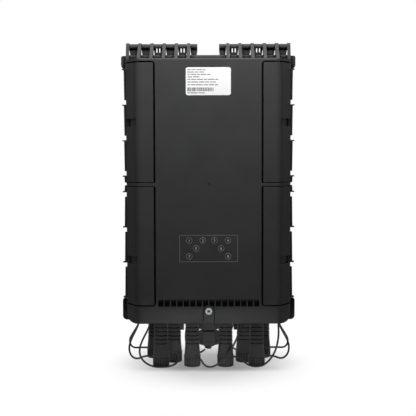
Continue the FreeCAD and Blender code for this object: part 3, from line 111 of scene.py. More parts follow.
# Route of each tether in millimetres, from the peg under the floor to the lug of its loop
TETHER_ROUTES = {
    "cap_tether_1": [(-103.0, 0.0, 70.0), (-103.0, 0.0, 60.0), (-108.6, -3.2, 48.6), (-114.6, -7.2, 37.0),
                     (-117.6, -11.0, 25.0), (-114.0, -13.8, 14.0), (-105.1, -14.0, 9.6), (-94.5, -13.0, 14.5),
                     (-85.5, -13.0, 14.5)],
    "cap_tether_2": [(46.0, -4.0, 70.0), (46.0, -4.0, 59.5), (44.0, -10.6, 47.5), (38.4, -19.4, 35.5),
                     (30.4, -26.8, 23.5), (20.4, -32.6, 12.6), (8.9, -36.5, 3.8), (-2.4, -38.7, 3.2),
                     (-8.6, -39.2, 8.7), (-12.0, -34.2, 14.5), (-16.6, -26.4, 14.5)],
    "cap_tether_3": [(102.0, -8.0, 70.0), (102.0, -8.0, 59.5), (102.4, -12.4, 47.5), (100.6, -18.8, 35.5),
                     (96.4, -25.6, 23.0), (88.4, -30.8, 11.6), (77.5, -33.5, 3.8), (65.0, -33.8, 2.6),
                     (54.0, -30.5, 5.8), (45.9, -24.5, 14.5), (38.0, -20.3, 14.5)],
    "cap_tether_4": [(103.0, -1.6, 70.0), (103.0, -1.6, 60.0), (108.9, -4.5, 48.6), (115.4, -8.0, 37.4),
                     (118.2, -11.4, 25.6), (114.5, -14.3, 14.8), (105.6, -14.2, 9.8), (94.5, -13.0, 14.5),
                     (85.5, -13.0, 14.5)],
    "cap_tether_5": [(-86.0, -6.0, 70.0), (-86.0, -6.0, 60.0), (-91.0, -10.6, 49.4), (-97.4, -16.6, 38.0),
                     (-101.4, -23.0, 26.5), (-99.4, -28.6, 15.6), (-91.2, -32.2, 7.4), (-79.5, -34.2, 2.8),
                     (-66.5, -33.0, 2.2), (-55.0, -28.4, 2.4), (-47.4, -20.2, 4.6), (-43.6, -13.0, 9.6),
                     (-44.4, -6.1, 14.5), (-47.2, 2.5, 14.5)],
    "cap_tether_6": [(40.0, 36.0, 70.0), (40.0, 36.0, 60.5), (37.0, 39.8, 50.0), (32.4, 43.4, 39.5),
                     (29.0, 45.2, 29.5), (30.6, 44.3, 20.7), (36.9, 36.6, 14.5), (42.5, 29.5, 14.5)],
    "cap_tether_7": [(-103.0, 31.0, 70.0), (-103.0, 31.0, 60.0), (-108.4, 33.4, 49.0), (-115.2, 36.5, 38.3),
                     (-120.4, 40.1, 28.7), (-119.4, 43.1, 19.3), (-114.0, 45.4, 14.5), (-106.5, 47.5, 14.5),
                     (-97.5, 47.5, 14.5)],
    "cap_tether_8": [(103.0, 31.0, 70.0), (103.0, 31.0, 60.0), (108.4, 33.4, 49.0), (115.2, 36.5, 38.3),
                     (120.4, 40.1, 28.7), (119.4, 43.1, 19.3), (114.0, 45.4, 14.5), (106.5, 47.5, 14.5),
                     (97.5, 47.5, 14.5)],
    "plug_tether": [(-30.0, 37.0, 70.0), (-30.0, 37.0, 60.0), (-33.4, 36.4, 49.0), (-35.2, 33.8, 37.6),
                    (-34.7, 29.6, 26.9), (-32.5, 24.3, 16.7), (-25.5, 21.4, 9.7), (-12.6, 21.8, 11.1),
                    (-5.6, 23.6, 16.4)],
}

# Port map: each number's place from the map's middle, in millimetres
PORT_PLACES = [(-27.3, 11.2), (-8.2, 11.2), (8.2, 11.2), (27.3, 11.2),
               (-17.6, 0.0), (17.6, 0.0), (-27.3, -11.2), (27.3, -11.2)]

# Rows of the label: distance below its top edge and the lengths of its plain bars, in millimetres
LABEL_ROWS = [
    (3.6, (4.6, 6.0, 8.2, 3.4)),
    (6.8, (9.4, 5.2, 6.6)),
    (10.1, (3.2, 8.0, 4.4, 7.8, 4.6)),
    (13.5, (6.4, 9.2)),
    (16.9, (4.0, 6.8, 8.6, 5.0, 9.4, 4.2)),
    (20.6, (4.4, 9.6, 7.2, 6.0, 8.4)),
    (24.4, (4.0, 5.6, 9.8, 6.4, 7.0, 5.2)),
    (35.6, (3.0, 10.2, 8.8)),
]
BAR_BLOCK = (28.2, 33.4)
BAR_SEED = 7
BAR_WIDTHS = (1, 1, 2, 3)
BAR_GAPS = (1, 1, 2, 2)

# Stage: the sensor, the floor, and the painted shade round the object's shadow, which fades into plain white
SENSOR_WIDTH = 36.0
FLOOR_Z = -0.2 * MM
FLOOR_HALF = 4.0
FLOOR_CORNERS = ((-1, -1), (1, -1), (1, 1), (-1, 1))
SHADOW_SHAPE = (1.15, 1.0, 1.0)
SHADOW_NEAR = 0.04
SHADOW_FAR = 0.19
LEAST_WHITE = 0.25

# Soft boxes in metres: place, target, width, height, the beam's spread and whether gloss mirrors them
SOFT_BOXES = {
    "front_light": ((0.0, -1.5, 1.45), (0.0, 0.0, 0.3), 1.8, 0.9, math.pi, True),
    "top_light": ((0.0, -0.28, 0.84), (0.0, -0.28, 0.0), 0.24, 0.24, math.pi, True),
    "foot_light": ((0.0, -0.6, 0.02), (0.0, 0.0, 0.0), 0.18, 0.03, math.radians(23.0), False),
    "band_light": ((0.0, -0.5, 0.078), (0.0, 0.0, 0.078), 0.17, 0.02, math.radians(5.0), False),
    "left_light": ((-0.85, 1.1, 0.7), (0.0, 0.0, 0.25), 0.6, 0.6, math.pi, True),
    "right_light": ((0.85, 1.1, 0.7), (0.0, 0.0, 0.25), 0.6, 0.6, math.pi, True),
}


# Settings that a user would change
def colour_setting(name, description, default):
    return bpy.props.FloatVectorProperty(name=name, description=description, subtype="COLOR", size=4,
                                         min=0.0, max=1.0, default=(*default, 1.0))


def length_setting(name, description, default):
    return bpy.props.FloatProperty(name=name, description=description, subtype="DISTANCE", unit="LENGTH",
                                   min=0.0, precision=5, default=default)


def angle_setting(name, description, degrees):
    return bpy.props.FloatProperty(name=name, description=description, subtype="ANGLE", unit="ROTATION",
                                   default=math.radians(degrees))


def power_setting(name, description, default):
    return bpy.props.FloatProperty(name=name, description=description, subtype="POWER", min=0.0,
                                   default=default)


class HubFinishes(bpy.types.PropertyGroup):
    """Colours and surface sizes of the box"""
    shell_colour: colour_setting("Shell", "Moulded shell of the base and the cover", (0.053, 0.0533, 0.0543))
    cap_colour: colour_setting("Caps", "Dust caps and the feeder gland", (0.056, 0.0562, 0.0572))
    adapter_colour: colour_setting("Adapters", "Port adapters and their nuts", (0.04, 0.04, 0.042))
    seal_colour: colour_setting("Seals", "Rim gasket and port seals", (0.05, 0.05, 0.052))
    tether_colour: colour_setting("Tethers", "Limp tethers and their loops", (0.018, 0.018, 0.019))
    steel_colour: colour_setting("Steel", "Captive screw, pins and small screws", (0.46, 0.46, 0.47))
    brass_colour: colour_setting("Brass", "Threaded inserts", (0.66, 0.46, 0.19))
    tray_colour: colour_setting("Tray", "Splice tray, holder and cable clamp", (0.66, 0.66, 0.64))
    lid_colour: colour_setting("Tray lid", "Clear lid of the splice tray", (0.88, 0.93, 0.95))
    splitter_colour: colour_setting("Splitter", "Splitter module's case", (0.60, 0.61, 0.63))
    plug_colour: colour_setting("Plugs", "Inner fibre plugs", (0.03, 0.30, 0.12))
    label_colour: colour_setting("Label", "Label film", (0.97, 0.97, 0.97))
    row_colour: colour_setting("Label rows", "Rows of plain bars on the label", (0.24, 0.235, 0.24))
    ink_colour: colour_setting("Label block", "Block of upright bars on the label", (0.05, 0.049, 0.051))
    mark_colour: colour_setting("Port map", "Outline and rings of the port map", (0.16, 0.16, 0.163))
    number_colour: colour_setting("Port numbers", "Numbers of the port map", (0.5, 0.5, 0.51))
    grain_size: length_setting("Grain", "Width of the moulded grain of the shell", 0.7 * MM)
    edge_radius: length_setting("Edge softness", "Radius that moulded edges are softened by", 0.5 * MM)


class HubTethers(bpy.types.PropertyGroup):
    """Sizes of the tethers"""
    diameter: length_setting("Diameter", "Thickness of a tether", 2.8 * MM)


class HubPrint(bpy.types.PropertyGroup):
    """Sizes of what is printed on the cover"""
    row_height: length_setting("Row height", "Height of a row's bars on the label", 1.3 * MM)
    row_gap: length_setting("Row gap", "Gap between two bars of a row", 1.0 * MM)
    label_margin: length_setting("Label margin", "Bare edge on the label's left", 2.3 * MM)
    bar_width: length_setting("Bar width", "Width of the narrowest bar of the label", 0.4 * MM)
    bar_reach: length_setting("Bar reach", "Width of the whole block of bars", 37.0 * MM)
    map_height: length_setting("Map place", "Height of the port map's middle", 177.8 * MM)
    map_width: length_setting("Map width", "Width of the port map's outline", 82.4 * MM)
    map_depth: length_setting("Map height", "Height of the port map's outline", 38.2 * MM)
    map_corner: length_setting("Map corner", "Corner radius of the port map's outline", 1.8 * MM)
    map_line: length_setting("Map line", "Width of the port map's lines", 0.85 * MM)
    ring_radius: length_setting("Ring", "Radius of the ring round each number", 4.1 * MM)
    number_height: length_setting("Number", "Height of the port numbers", 3.6 * MM)
    number_weight: length_setting("Number weight", "How far the numbers' strokes are thickened", 0.08 * MM)


class HubBridges(bpy.types.PropertyGroup):
    """Sizes of the webs that cross the upright grooves between the side panels"""
    place: length_setting("Place", "Height of the webs' middle", 267.5 * MM)
    height: length_setting("Height", "Height of a web", 4.3 * MM)
    groove_place: length_setting("Groove place", "Distance of a groove's middle from the centre", 75.5 * MM)
    groove_width: length_setting("Groove width", "Width of a groove", 2.8 * MM)
    groove_depth: length_setting("Groove depth", "Depth of a groove", 4.6 * MM)
    flare: length_setting("Flare", "Radius by which a web widens towards the middle panel", 2.6 * MM)


class HubThreads(bpy.types.PropertyGroup):
    """Sizes of the screw threads"""
    port_radius: length_setting("Port thread", "Radius of an adapter's neck", 8.0 * MM)
    port_pitch: length_setting("Port pitch", "Pitch of an adapter's thread", 1.0 * MM)
    port_reach: length_setting("Port reach", "Thread that stands above a port's nut", 3.0 * MM)
    gland_radius: length_setting("Gland thread", "Radius of the gland's stem", 10.0 * MM)
    gland_pitch: length_setting("Gland pitch", "Pitch of the gland's thread", 1.5 * MM)
    screw_radius: length_setting("Screw thread", "Radius of the captive screw's shank", 2.5 * MM)
    screw_pitch: length_setting("Screw pitch", "Pitch of the captive screw's thread", 0.8 * MM)
    screw_reach: length_setting("Screw reach", "Threaded length at the captive screw's end", 9.5 * MM)
    ridge: length_setting("Ridge", "Height of a thread's ridge", 0.28 * MM)


class HubStage(bpy.types.PropertyGroup):
    """Camera, light and floor"""
    camera_place: bpy.props.FloatVectorProperty(
        name="Camera place", description="Where the camera stands", subtype="TRANSLATION", unit="LENGTH",
        default=(-0.0008, -1.462, 0.3264))
    camera_pitch: angle_setting("Camera pitch", "How far the camera looks down", 3.75)
    camera_roll: angle_setting("Camera roll", "How far the camera leans", -0.13)
    camera_lens: bpy.props.FloatProperty(
        name="Lens", description="Focal length on a 36 mm sensor", subtype="DISTANCE_CAMERA", min=1.0,
        default=86.54)
    key_power: power_setting("Front light", "Power of the soft box over the camera", 0.25)
    top_power: power_setting("Top light", "Power of the soft box over the cover's front", 6.0)
    foot_power: power_setting("Foot light", "Power of the low soft box before the caps", 0.06)
    band_power: power_setting("Band light", "Power of the soft box before the cover's lower band", 0.003)
    back_power: power_setting("Back lights", "Power of each soft box behind the object", 8.0)
    room_colour: colour_setting("Room", "Light from the room", (0.07, 0.07, 0.0712))
    floor_colour: colour_setting("Floor", "Plain pale floor, as it is seen", (0.6, 0.6, 0.6))
    bounce_colour: colour_setting("Floor bounce", "Floor for the light that it throws back",
                                  (0.14, 0.14, 0.14))


# Shader building
def add_node(tree, kind, inputs=None, **settings):
    """Add a node, set its properties and fill its sockets with values or links."""
    made = tree.nodes.new(kind)
    for name, value in settings.items():
        setattr(made, name, value)
    for key, value in (inputs or {}).items():
        if isinstance(value, bpy.types.NodeSocket):
            tree.links.new(value, made.inputs[key])
        else:
            made.inputs[key].default_value = value
    return made


def new_finish(name):
    """A material with its node tree, its shader and the object coordinates."""
    material = bpy.data.materials.new(name)
    material.use_nodes = True
    tree = material.node_tree
    shader = tree.nodes["Principled BSDF"]
    place = add_node(tree, "ShaderNodeTexCoord").outputs["Object"]
    return material, tree, shader, place


def noise(tree, place, size, detail=2.0):
    """Noise whose lumps are about size across."""
    made = add_node(tree, "ShaderNodeTexNoise", {"Vector": place, "Scale": 1.0 / size, "Detail": detail})
    return made.outputs["Fac"]


def stretched(tree, place, scale):
    """Coordinates scaled along each axis, for patterns with a direction."""
    return add_node(tree, "ShaderNodeMapping", {"Vector": place, "Scale": scale}).outputs["Vector"]


def remap(tree, value, low, high, start=0.3, stop=0.7):
    """Value that runs from low to high while the given one runs from start to stop."""
    made = add_node(tree, "ShaderNodeMapRange", {"Value": value, "From Min": start, "From Max": stop,
                                                 "To Min": low, "To Max": high})
    return made.outputs["Result"]


def blend_colours(tree, share, first, second):
    """Colour that goes from the first to the second as the share goes from 0 to 1."""
    made = add_node(tree, "ShaderNodeMix", {"Factor": share, 6: first, 7: second}, data_type="RGBA")
    return made.outputs[2]


def shade_of(colour, gain):
    """Colour made darker or paler by a factor."""
    return (*[min(part * gain, 1.0) for part in colour[:3]], 1.0)


def soft_edges(tree, radius):
    """Normal that is rounded over the edges, and a mask that is 1 on them."""
    rounded = add_node(tree, "ShaderNodeBevel", {"Radius": radius}, samples=EDGE_SAMPLES).outputs["Normal"]
    true_normal = add_node(tree, "ShaderNodeNewGeometry").outputs["Normal"]
    dot = add_node(tree, "ShaderNodeVectorMath", {0: rounded, 1: true_normal}, operation="DOT_PRODUCT")
    mask = remap(tree, dot.outputs["Value"], 1.0, 0.0, *EDGE_RANGE)
    return rounded, mask


def add_relief(tree, shader, height, depth, strength, normal=None):
    """Bump a shader's normal by a height, on top of a rounded normal where one is given."""
    inputs = {"Strength": strength, "Distance": depth, "Height": height}
    if normal is not None:
        inputs["Normal"] = normal
    bump = add_node(tree, "ShaderNodeBump", inputs)
    tree.links.new(bump.outputs["Normal"], shader.inputs["Normal"])


def open_share(tree, reach, closed, clear):
    """1 where the sky share within reach is over clear, falling to 0 at closed, where shade is painted."""
    found = add_node(tree, "ShaderNodeAmbientOcclusion", {"Distance": reach}, samples=PAINTED_SHADE_SAMPLES)
    return remap(tree, found.outputs["AO"], 0.0, 1.0, start=closed, stop=clear)


def moulded_plastic(name, colour, roughness, grain, grain_depth, edge_radius, wear_and_highlight_gain, specular,
                    recess_shade=SHELL_PAINTED_SHADE):
    """Spark-textured plastic: fine grain, faint flow clouds, edges paled by wear and a painted highlight, and
    painted shade in grooves.
    """
    material, tree, shader, place = new_finish(name)
    clouds = noise(tree, place, CLOUD_SIZE, detail=4.0)
    fine = noise(tree, place, grain, detail=3.0)
    pits = add_node(tree, "ShaderNodeTexVoronoi", {"Vector": place, "Scale": PITS_PER_GRAIN / grain})
    rounded, edges = soft_edges(tree, edge_radius)
    dark, pale = [shade_of(colour, gain) for gain in CLOUD_GAINS]
    body = blend_colours(tree, remap(tree, clouds, 0.0, 1.0), dark, pale)
    speckles = remap(tree, fine, 0.0, SPECKLE_SHARE)
    speckled = blend_colours(tree, speckles, body, shade_of(colour, SPECKLE_GAIN))
    # Paler edges: partly wear, partly a painted highlight along the rounded edges
    worn_and_highlit = blend_colours(tree, edges, speckled, shade_of(colour, wear_and_highlight_gain))
    # Painted shade: grooves and recesses are darkened towards black by how closed in they are
    recess_shaded = blend_colours(tree, open_share(tree, *recess_shade), shade_of(colour, PAINTED_SHADE_GAIN), worn_and_highlit)
    tree.links.new(recess_shaded, shader.inputs["Base Color"])
    tree.links.new(remap(tree, clouds, roughness - 0.05, roughness + 0.05), shader.inputs["Roughness"])
    relief = add_node(tree, "ShaderNodeMath", {0: fine, 1: pits.outputs["Distance"]}, operation="ADD")
    add_relief(tree, shader, relief.outputs["Value"], grain_depth, strength=0.5, normal=rounded)
    shader.inputs["Specular IOR Level"].default_value = specular
    return material


def rubber(name, colour, roughness, edge_radius):
    """Matt rubber with a bloom of paler dust."""
    material, tree, shader, place = new_finish(name)
    bloom = noise(tree, place, 9 * MM, detail=5.0)
    fine = noise(tree, place, 0.4 * MM)
    rounded = soft_edges(tree, edge_radius)[0]
    dusted = blend_colours(tree, remap(tree, bloom, 0.0, 1.0), colour, shade_of(colour, 1.6))
    tree.links.new(dusted, shader.inputs["Base Color"])
    tree.links.new(remap(tree, bloom, roughness - 0.08, roughness + 0.08), shader.inputs["Roughness"])
    add_relief(tree, shader, fine, depth=0.05 * MM, strength=0.35, normal=rounded)
    shader.inputs["Specular IOR Level"].default_value = 0.35
    return material


def worked_metal(name, colour, streak, roughness, edge_radius=METAL_EDGE):
    """Metal with drawn or turned streaks along one direction, brighter edges, and painted shade in its
    recesses such as a screw's socket.
    """
    material, tree, shader, place = new_finish(name)
    lines = noise(tree, stretched(tree, place, streak), 2.5 * MM, detail=5.0)
    stains = noise(tree, place, 14 * MM, detail=3.0)
    rounded, edges = soft_edges(tree, edge_radius)
    body = blend_colours(tree, remap(tree, stains, 0.0, 1.0), shade_of(colour, 0.86), colour)
    bright = blend_colours(tree, edges, body, shade_of(colour, 1.2))
    # Painted shade: the screw's socket and other recesses are darkened towards black
    metal_recess_shaded = blend_colours(tree, open_share(tree, *METAL_PAINTED_SHADE), shade_of(colour, PAINTED_SHADE_GAIN), bright)
    tree.links.new(metal_recess_shaded, shader.inputs["Base Color"])
    tree.links.new(remap(tree, lines, roughness - 0.08, roughness + 0.1), shader.inputs["Roughness"])
    add_relief(tree, shader, lines, depth=0.02 * MM, strength=0.25, normal=rounded)
    shader.inputs["Metallic"].default_value = 1.0
    return material


def clear_plate(name, colour):
    """Clear sheet with faint hairline scratches."""
    material, tree, shader, place = new_finish(name)
    hairs = noise(tree, stretched(tree, place, HAIRLINE_STREAK), 8 * MM, detail=6.0)
    haze = noise(tree, place, 50 * MM, detail=3.0)
    tree.links.new(remap(tree, haze, 0.05, 0.16), shader.inputs["Roughness"])
    add_relief(tree, shader, hairs, depth=0.02 * MM, strength=0.08)
    shader.inputs["Base Color"].default_value = colour
    shader.inputs["Transmission Weight"].default_value = 1.0
    shader.inputs["IOR"].default_value = LID_IOR
    return material


def film(name, colour, roughness):
    """Printed film: a faint mottle and a satin top."""
    material, tree, shader, place = new_finish(name)
    mottle = noise(tree, place, 3 * MM, detail=5.0)
    fine = noise(tree, place, 0.25 * MM)
    tinted = blend_colours(tree, remap(tree, mottle, 0.0, 1.0), shade_of(colour, 0.97), colour)
    tree.links.new(tinted, shader.inputs["Base Color"])
    tree.links.new(remap(tree, mottle, roughness - 0.06, roughness + 0.06), shader.inputs["Roughness"])
    add_relief(tree, shader, fine, depth=0.01 * MM, strength=0.15)
    shader.inputs["Specular IOR Level"].default_value = 0.2
    return material


def dress(material, *names):
    """Give solids of the frame a finish."""
    for name in names:
        solid = NODES[name]
        if not solid.material_slots:
            solid.data.materials.append(material)
        for slot in solid.material_slots:
            slot.material = material


def numbered(stem):
    """Names of the like solids of all ports."""
    return ["%s_%d" % (stem, index) for index in range(1, PORT_COUNT + 1)]


# Mesh building
def add_piece(name, mesh, body):
    """Put a finished mesh into the scene, on its body."""
    piece = bpy.data.objects.new(name, mesh)
    bpy.context.scene.collection.objects.link(piece)
    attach(piece, body)


def mesh_of(obj):
    """Plain mesh of an object as its modifiers leave it; the object is removed."""
    graph = bpy.context.evaluated_depsgraph_get()
    mesh = bpy.data.meshes.new_from_object(obj.evaluated_get(graph))
    bpy.data.objects.remove(obj)
    return mesh


def grown(name, points, tree, values, sizes=None):
    """Mesh that a node tree grows on some points, each with its own size where sizes are given."""
    seed = bpy.data.meshes.new(name)
    seed.from_pydata(points, [], [])
    if sizes:
        attribute = seed.attributes.new("bar_size", "FLOAT_VECTOR", "POINT")
        for item, size in zip(attribute.data, sizes):
            item.vector = size
    carrier = bpy.data.objects.new(name, seed)
    bpy.context.scene.collection.objects.link(carrier)
    modifier = carrier.modifiers.new(name, "NODES")
    modifier.node_group = tree
    for item in tree.interface.items_tree:
        if item.in_out == "INPUT" and item.name in values:
            modifier[item.identifier] = values[item.name]
    return mesh_of(carrier)


def new_growth(name, inputs):
    """Empty node tree with a geometry input, named inputs and a geometry output."""
    tree = bpy.data.node_groups.new(name, "GeometryNodeTree")
    tree.interface.new_socket(name="Points", in_out="INPUT", socket_type="NodeSocketGeometry")
    for label, kind in inputs:
        tree.interface.new_socket(name=label, in_out="INPUT", socket_type=kind)
    tree.interface.new_socket(name="Mesh", in_out="OUTPUT", socket_type="NodeSocketGeometry")
    return tree, tree.nodes.new("NodeGroupInput").outputs


def end_growth(tree, copies, finish):
    """Close a node tree: make the copies real, give them their finish and send them out."""
    real = add_node(tree, "GeometryNodeRealizeInstances", {"Geometry": copies})
    dressed = add_node(tree, "GeometryNodeSetMaterial", {
        "Geometry": real.outputs["Geometry"], "Material": finish})
    add_node(tree, "NodeGroupOutput", {"Mesh": dressed.outputs["Geometry"]})
    return tree


def bar_growth():
    """Flat bar on each point, as large as the point's bar_size."""
    tree, given = new_growth("printed_bars", [("Finish", "NodeSocketMaterial")])
    bar = add_node(tree, "GeometryNodeMeshCube", {"Size": (1.0, 1.0, 1.0)})
    size = add_node(tree, "GeometryNodeInputNamedAttribute", {"Name": "bar_size"}, data_type="FLOAT_VECTOR")
    copies = add_node(tree, "GeometryNodeInstanceOnPoints", {
        "Points": given["Points"], "Instance": bar.outputs["Mesh"], "Scale": size.outputs["Attribute"]})
    return end_growth(tree, copies.outputs["Instances"], given["Finish"])


def ring_growth():
    """Flat printed ring on each point, facing the front."""
    tree, given = new_growth("printed_rings", [
        ("Radius", "NodeSocketFloat"), ("Line", "NodeSocketFloat"), ("Thickness", "NodeSocketFloat"),
        ("Finish", "NodeSocketMaterial")])
    circle = add_node(tree, "GeometryNodeCurvePrimitiveCircle", {
        "Resolution": RING_STEPS, "Radius": given["Radius"]})
    section = add_node(tree, "GeometryNodeCurvePrimitiveQuadrilateral",
                       {"Width": given["Line"], "Height": given["Thickness"]})
    ring = add_node(tree, "GeometryNodeCurveToMesh", {
        "Curve": circle.outputs["Curve"], "Profile Curve": section.outputs["Curve"]})
    copies = add_node(tree, "GeometryNodeInstanceOnPoints", {
        "Points": given["Points"], "Instance": ring.outputs["Mesh"], "Rotation": (QUARTER_TURN, 0.0, 0.0)})
    return end_growth(tree, copies.outputs["Instances"], given["Finish"])


def thread_growth():
    """Screw thread that starts at each point and climbs along its own axis."""
    tree, given = new_growth("screw_threads", [
        ("Radius", "NodeSocketFloat"), ("Length", "NodeSocketFloat"), ("Turns", "NodeSocketFloat"),
        ("Ridge", "NodeSocketFloat"), ("Lean", "NodeSocketVector"), ("Finish", "NodeSocketMaterial")])
    helix = add_node(tree, "GeometryNodeCurveSpiral", {
        "Resolution": THREAD_STEPS, "Rotations": given["Turns"], "Start Radius": given["Radius"],
        "End Radius": given["Radius"], "Height": given["Length"]})
    section = add_node(tree, "GeometryNodeCurvePrimitiveCircle", {
        "Resolution": RIDGE_SIDES, "Radius": given["Ridge"]})
    ridge = add_node(tree, "GeometryNodeCurveToMesh", {
        "Curve": helix.outputs["Curve"], "Profile Curve": section.outputs["Curve"], "Fill Caps": True})
    copies = add_node(tree, "GeometryNodeInstanceOnPoints", {
        "Points": given["Points"], "Instance": ridge.outputs["Mesh"], "Rotation": given["Lean"]})
    return end_growth(tree, copies.outputs["Instances"], given["Finish"])


def below_top(name, reach):
    """Point on a solid's upright axis, so far below its top."""
    low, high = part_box(name)
    return ((low.x + high.x) / 2, (low.y + high.y) / 2, high.z - reach)


def rounded_outline(half_width, half_height, radius, steps=12):
    """Points of a rounded rectangle about the origin, counter-clockwise."""
    points = []
    for quarter, (sx, sy) in enumerate([(1, 1), (-1, 1), (-1, -1), (1, -1)]):
        for step in range(steps + 1):
            angle = QUARTER_TURN * (quarter + step / steps)
            points.append((sx * (half_width - radius) + radius * math.cos(angle),
                           sy * (half_height - radius) + radius * math.sin(angle)))
    return points


def web_outline(half_width, half_height, flare, steps=8):
    """Points of a web about its middle, with round flares on its left."""
    points = [(half_width, -half_height), (half_width, half_height)]
    for first, level in ((1.5 * math.pi, 1), (math.pi, -1)):
        for step in range(steps + 1):
            angle = first - QUARTER_TURN * step / steps
            points.append((flare - half_width + flare * math.cos(angle),
                           level * (half_height + flare) + flare * math.sin(angle)))
    return points


def flat_band(shape, outer, inner, middle_z, front_y, back_y):
    """Add a closed band between two outlines of as many points to a mesh under construction."""
    loops = []
    for outline, y in ((outer, front_y), (inner, front_y), (inner, back_y), (outer, back_y)):
        loops.append([shape.verts.new((x, y, middle_z + z)) for x, z in outline])
    count = len(outer)
    for first, second in zip(loops, loops[1:] + loops[:1]):
        for index in range(count):
            after = (index + 1) % count
            shape.faces.new((first[index], first[after], second[after], second[index]))


def number_mesh(text, height, weight):
    """Mesh of a plain number, upright and facing the front, with its middle at the origin."""
    letters = bpy.data.curves.new("number", "FONT")
    letters.body = text
    letters.align_x = "CENTER"
    letters.align_y = "CENTER"
    letters.size = height * FONT_SIZE_PER_HEIGHT
    letters.offset = weight
    letters.extrude = (INK_PROUD + INK_SUNK) / 2
    letters.resolution_u = NUMBER_STEPS
    carrier = bpy.data.objects.new("number", letters)
    bpy.context.scene.collection.objects.link(carrier)
    mesh = mesh_of(carrier)
    mesh.transform(Matrix.Rotation(QUARTER_TURN, 4, "X"))
    return mesh


def painted_mesh(name, shape, paint):
    """Close a mesh under construction, turn its faces outwards and give it one finish."""
    bmesh.ops.remove_doubles(shape, verts=shape.verts, dist=WELD)
    bmesh.ops.recalc_face_normals(shape, faces=shape.faces)
    for face in shape.faces:
        face.material_index = 0
    mesh = bpy.data.meshes.new(name)
    shape.to_mesh(mesh)
    shape.free()
    mesh.materials.clear()
    mesh.materials.append(paint)
    return mesh


# Pieces
class HUBBOX_OT_finish_shells(bpy.types.Operator):
    """Give the base and the cover their grained black finish"""
    bl_idname = "hubbox.finish_shells"
    bl_label = "Finish the shells"

    def execute(self, context):
        chosen = context.scene.hub_finishes
        shell = moulded_plastic("grained_shell", chosen.shell_colour, roughness=0.56, grain=chosen.grain_size,
                                grain_depth=0.05 * MM, edge_radius=chosen.edge_radius, wear_and_highlight_gain=2.0,
                                specular=0.02)
        dress(shell, "base_shell", "cover_shell")
        return {"FINISHED"}


class HUBBOX_OT_finish_ports(bpy.types.Operator):
    """Give the dust caps, adapters, gland and seals their finishes"""
    bl_idname = "hubbox.finish_ports"
    bl_label = "Finish the ports"

    def execute(self, context):
        chosen = context.scene.hub_finishes
        caps = moulded_plastic("satin_cap", chosen.cap_colour, roughness=0.5, grain=0.5 * MM,
                               grain_depth=0.02 * MM, edge_radius=0.35 * MM, wear_and_highlight_gain=2.0, specular=0.03,
                               recess_shade=CAP_PAINTED_SHADE)
        adapters = moulded_plastic("satin_adapter", chosen.adapter_colour, roughness=0.45, grain=0.5 * MM,
                                   grain_depth=0.02 * MM, edge_radius=0.3 * MM, wear_and_highlight_gain=2.0, specular=0.5)
        seals = rubber("seal_rubber", chosen.seal_colour, roughness=0.72, edge_radius=0.3 * MM)
        dress(caps, *numbered("dust_cap"), "feeder_gland_nut", "feeder_gland_plug", "feeder_gland_body")
        dress(adapters, *numbered("port_adapter"), "port_nuts", "gland_locknut")
        dress(seals, "rim_gasket", "port_seals")
        return {"FINISHED"}


class HUBBOX_OT_finish_metal(bpy.types.Operator):
    """Give the screws, pins and inserts their worked metal"""
    bl_idname = "hubbox.finish_metal"
    bl_label = "Finish the metal"

    def execute(self, context):
        chosen = context.scene.hub_finishes
        screws = worked_metal("turned_steel", chosen.steel_colour, TURNED_STREAK, roughness=0.26)
        pins = worked_metal("drawn_steel", chosen.steel_colour, DRAWN_STREAK, roughness=0.3)
        inserts = worked_metal("turned_brass", chosen.brass_colour, TURNED_STREAK, roughness=0.3)
        dress(screws, "cover_screw", "screw_washer", "screw_retainer", "tray_screws", "clamp_screws")
        dress(pins, "hinge_pin_left", "hinge_pin_right")
        dress(inserts, "mount_inserts", "screw_insert")
        return {"FINISHED"}


class HUBBOX_OT_finish_inside(bpy.types.Operator):
    """Give the splice tray, splitter and inner plugs their finishes"""
    bl_idname = "hubbox.finish_inside"
    bl_label = "Finish the inside"

    def execute(self, context):
        chosen = context.scene.hub_finishes
        tray = moulded_plastic("pale_tray", chosen.tray_colour, roughness=0.42, grain=0.9 * MM,
                               grain_depth=0.015 * MM, edge_radius=0.4 * MM, wear_and_highlight_gain=1.1, specular=0.5)
        plugs = moulded_plastic("green_plug", chosen.plug_colour, roughness=0.28, grain=0.8 * MM,
                                grain_depth=0.008 * MM, edge_radius=0.35 * MM, wear_and_highlight_gain=1.5, specular=0.5)
        splitter = worked_metal("brushed_case", chosen.splitter_colour, BRUSHED_STREAK, roughness=0.34,
                                edge_radius=0.3 * MM)
        dress(tray, "splice_tray", "splice_holder", "cable_clamp")
        dress(plugs, "pigtail_plugs")
        dress(splitter, "splitter_module")
        dress(clear_plate("clear_lid", chosen.lid_colour), "tray_lid")
        return {"FINISHED"}


class HUBBOX_OT_hang_tethers(bpy.types.Operator):
    """Hang the limp tethers of the caps and of the gland's plug"""
    bl_idname = "hubbox.hang_tethers"
    bl_label = "Hang the tethers"

    def execute(self, context):
        cord_finish = rubber("tether_rubber", context.scene.hub_finishes.tether_colour, roughness=0.55,
                             edge_radius=0.2 * MM)
        diameter = context.scene.hub_tethers.diameter
        dress(cord_finish, "tether_loops")
        for node, route in TETHER_ROUTES.items():
            line = bpy.data.curves.new(node + "_line", "CURVE")
            line.dimensions = "3D"
            spline = line.splines.new("NURBS")
            spline.points.add(len(route) - 1)
            for point, place in zip(spline.points, route):
                point.co = (*[part * MM for part in place], 1.0)
            spline.order_u = 3
            spline.use_endpoint_u = True
            spline.resolution_u = CORD_STEPS
            line.bevel_depth = diameter / 2
            line.bevel_resolution = CORD_ROUNDNESS
            line.use_fill_caps = True
            line.materials.append(cord_finish)
            piece = bpy.data.objects.new(node + "_line", line)
            context.scene.collection.objects.link(piece)
            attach(piece, "base")
            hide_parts(node)
        return {"FINISHED"}


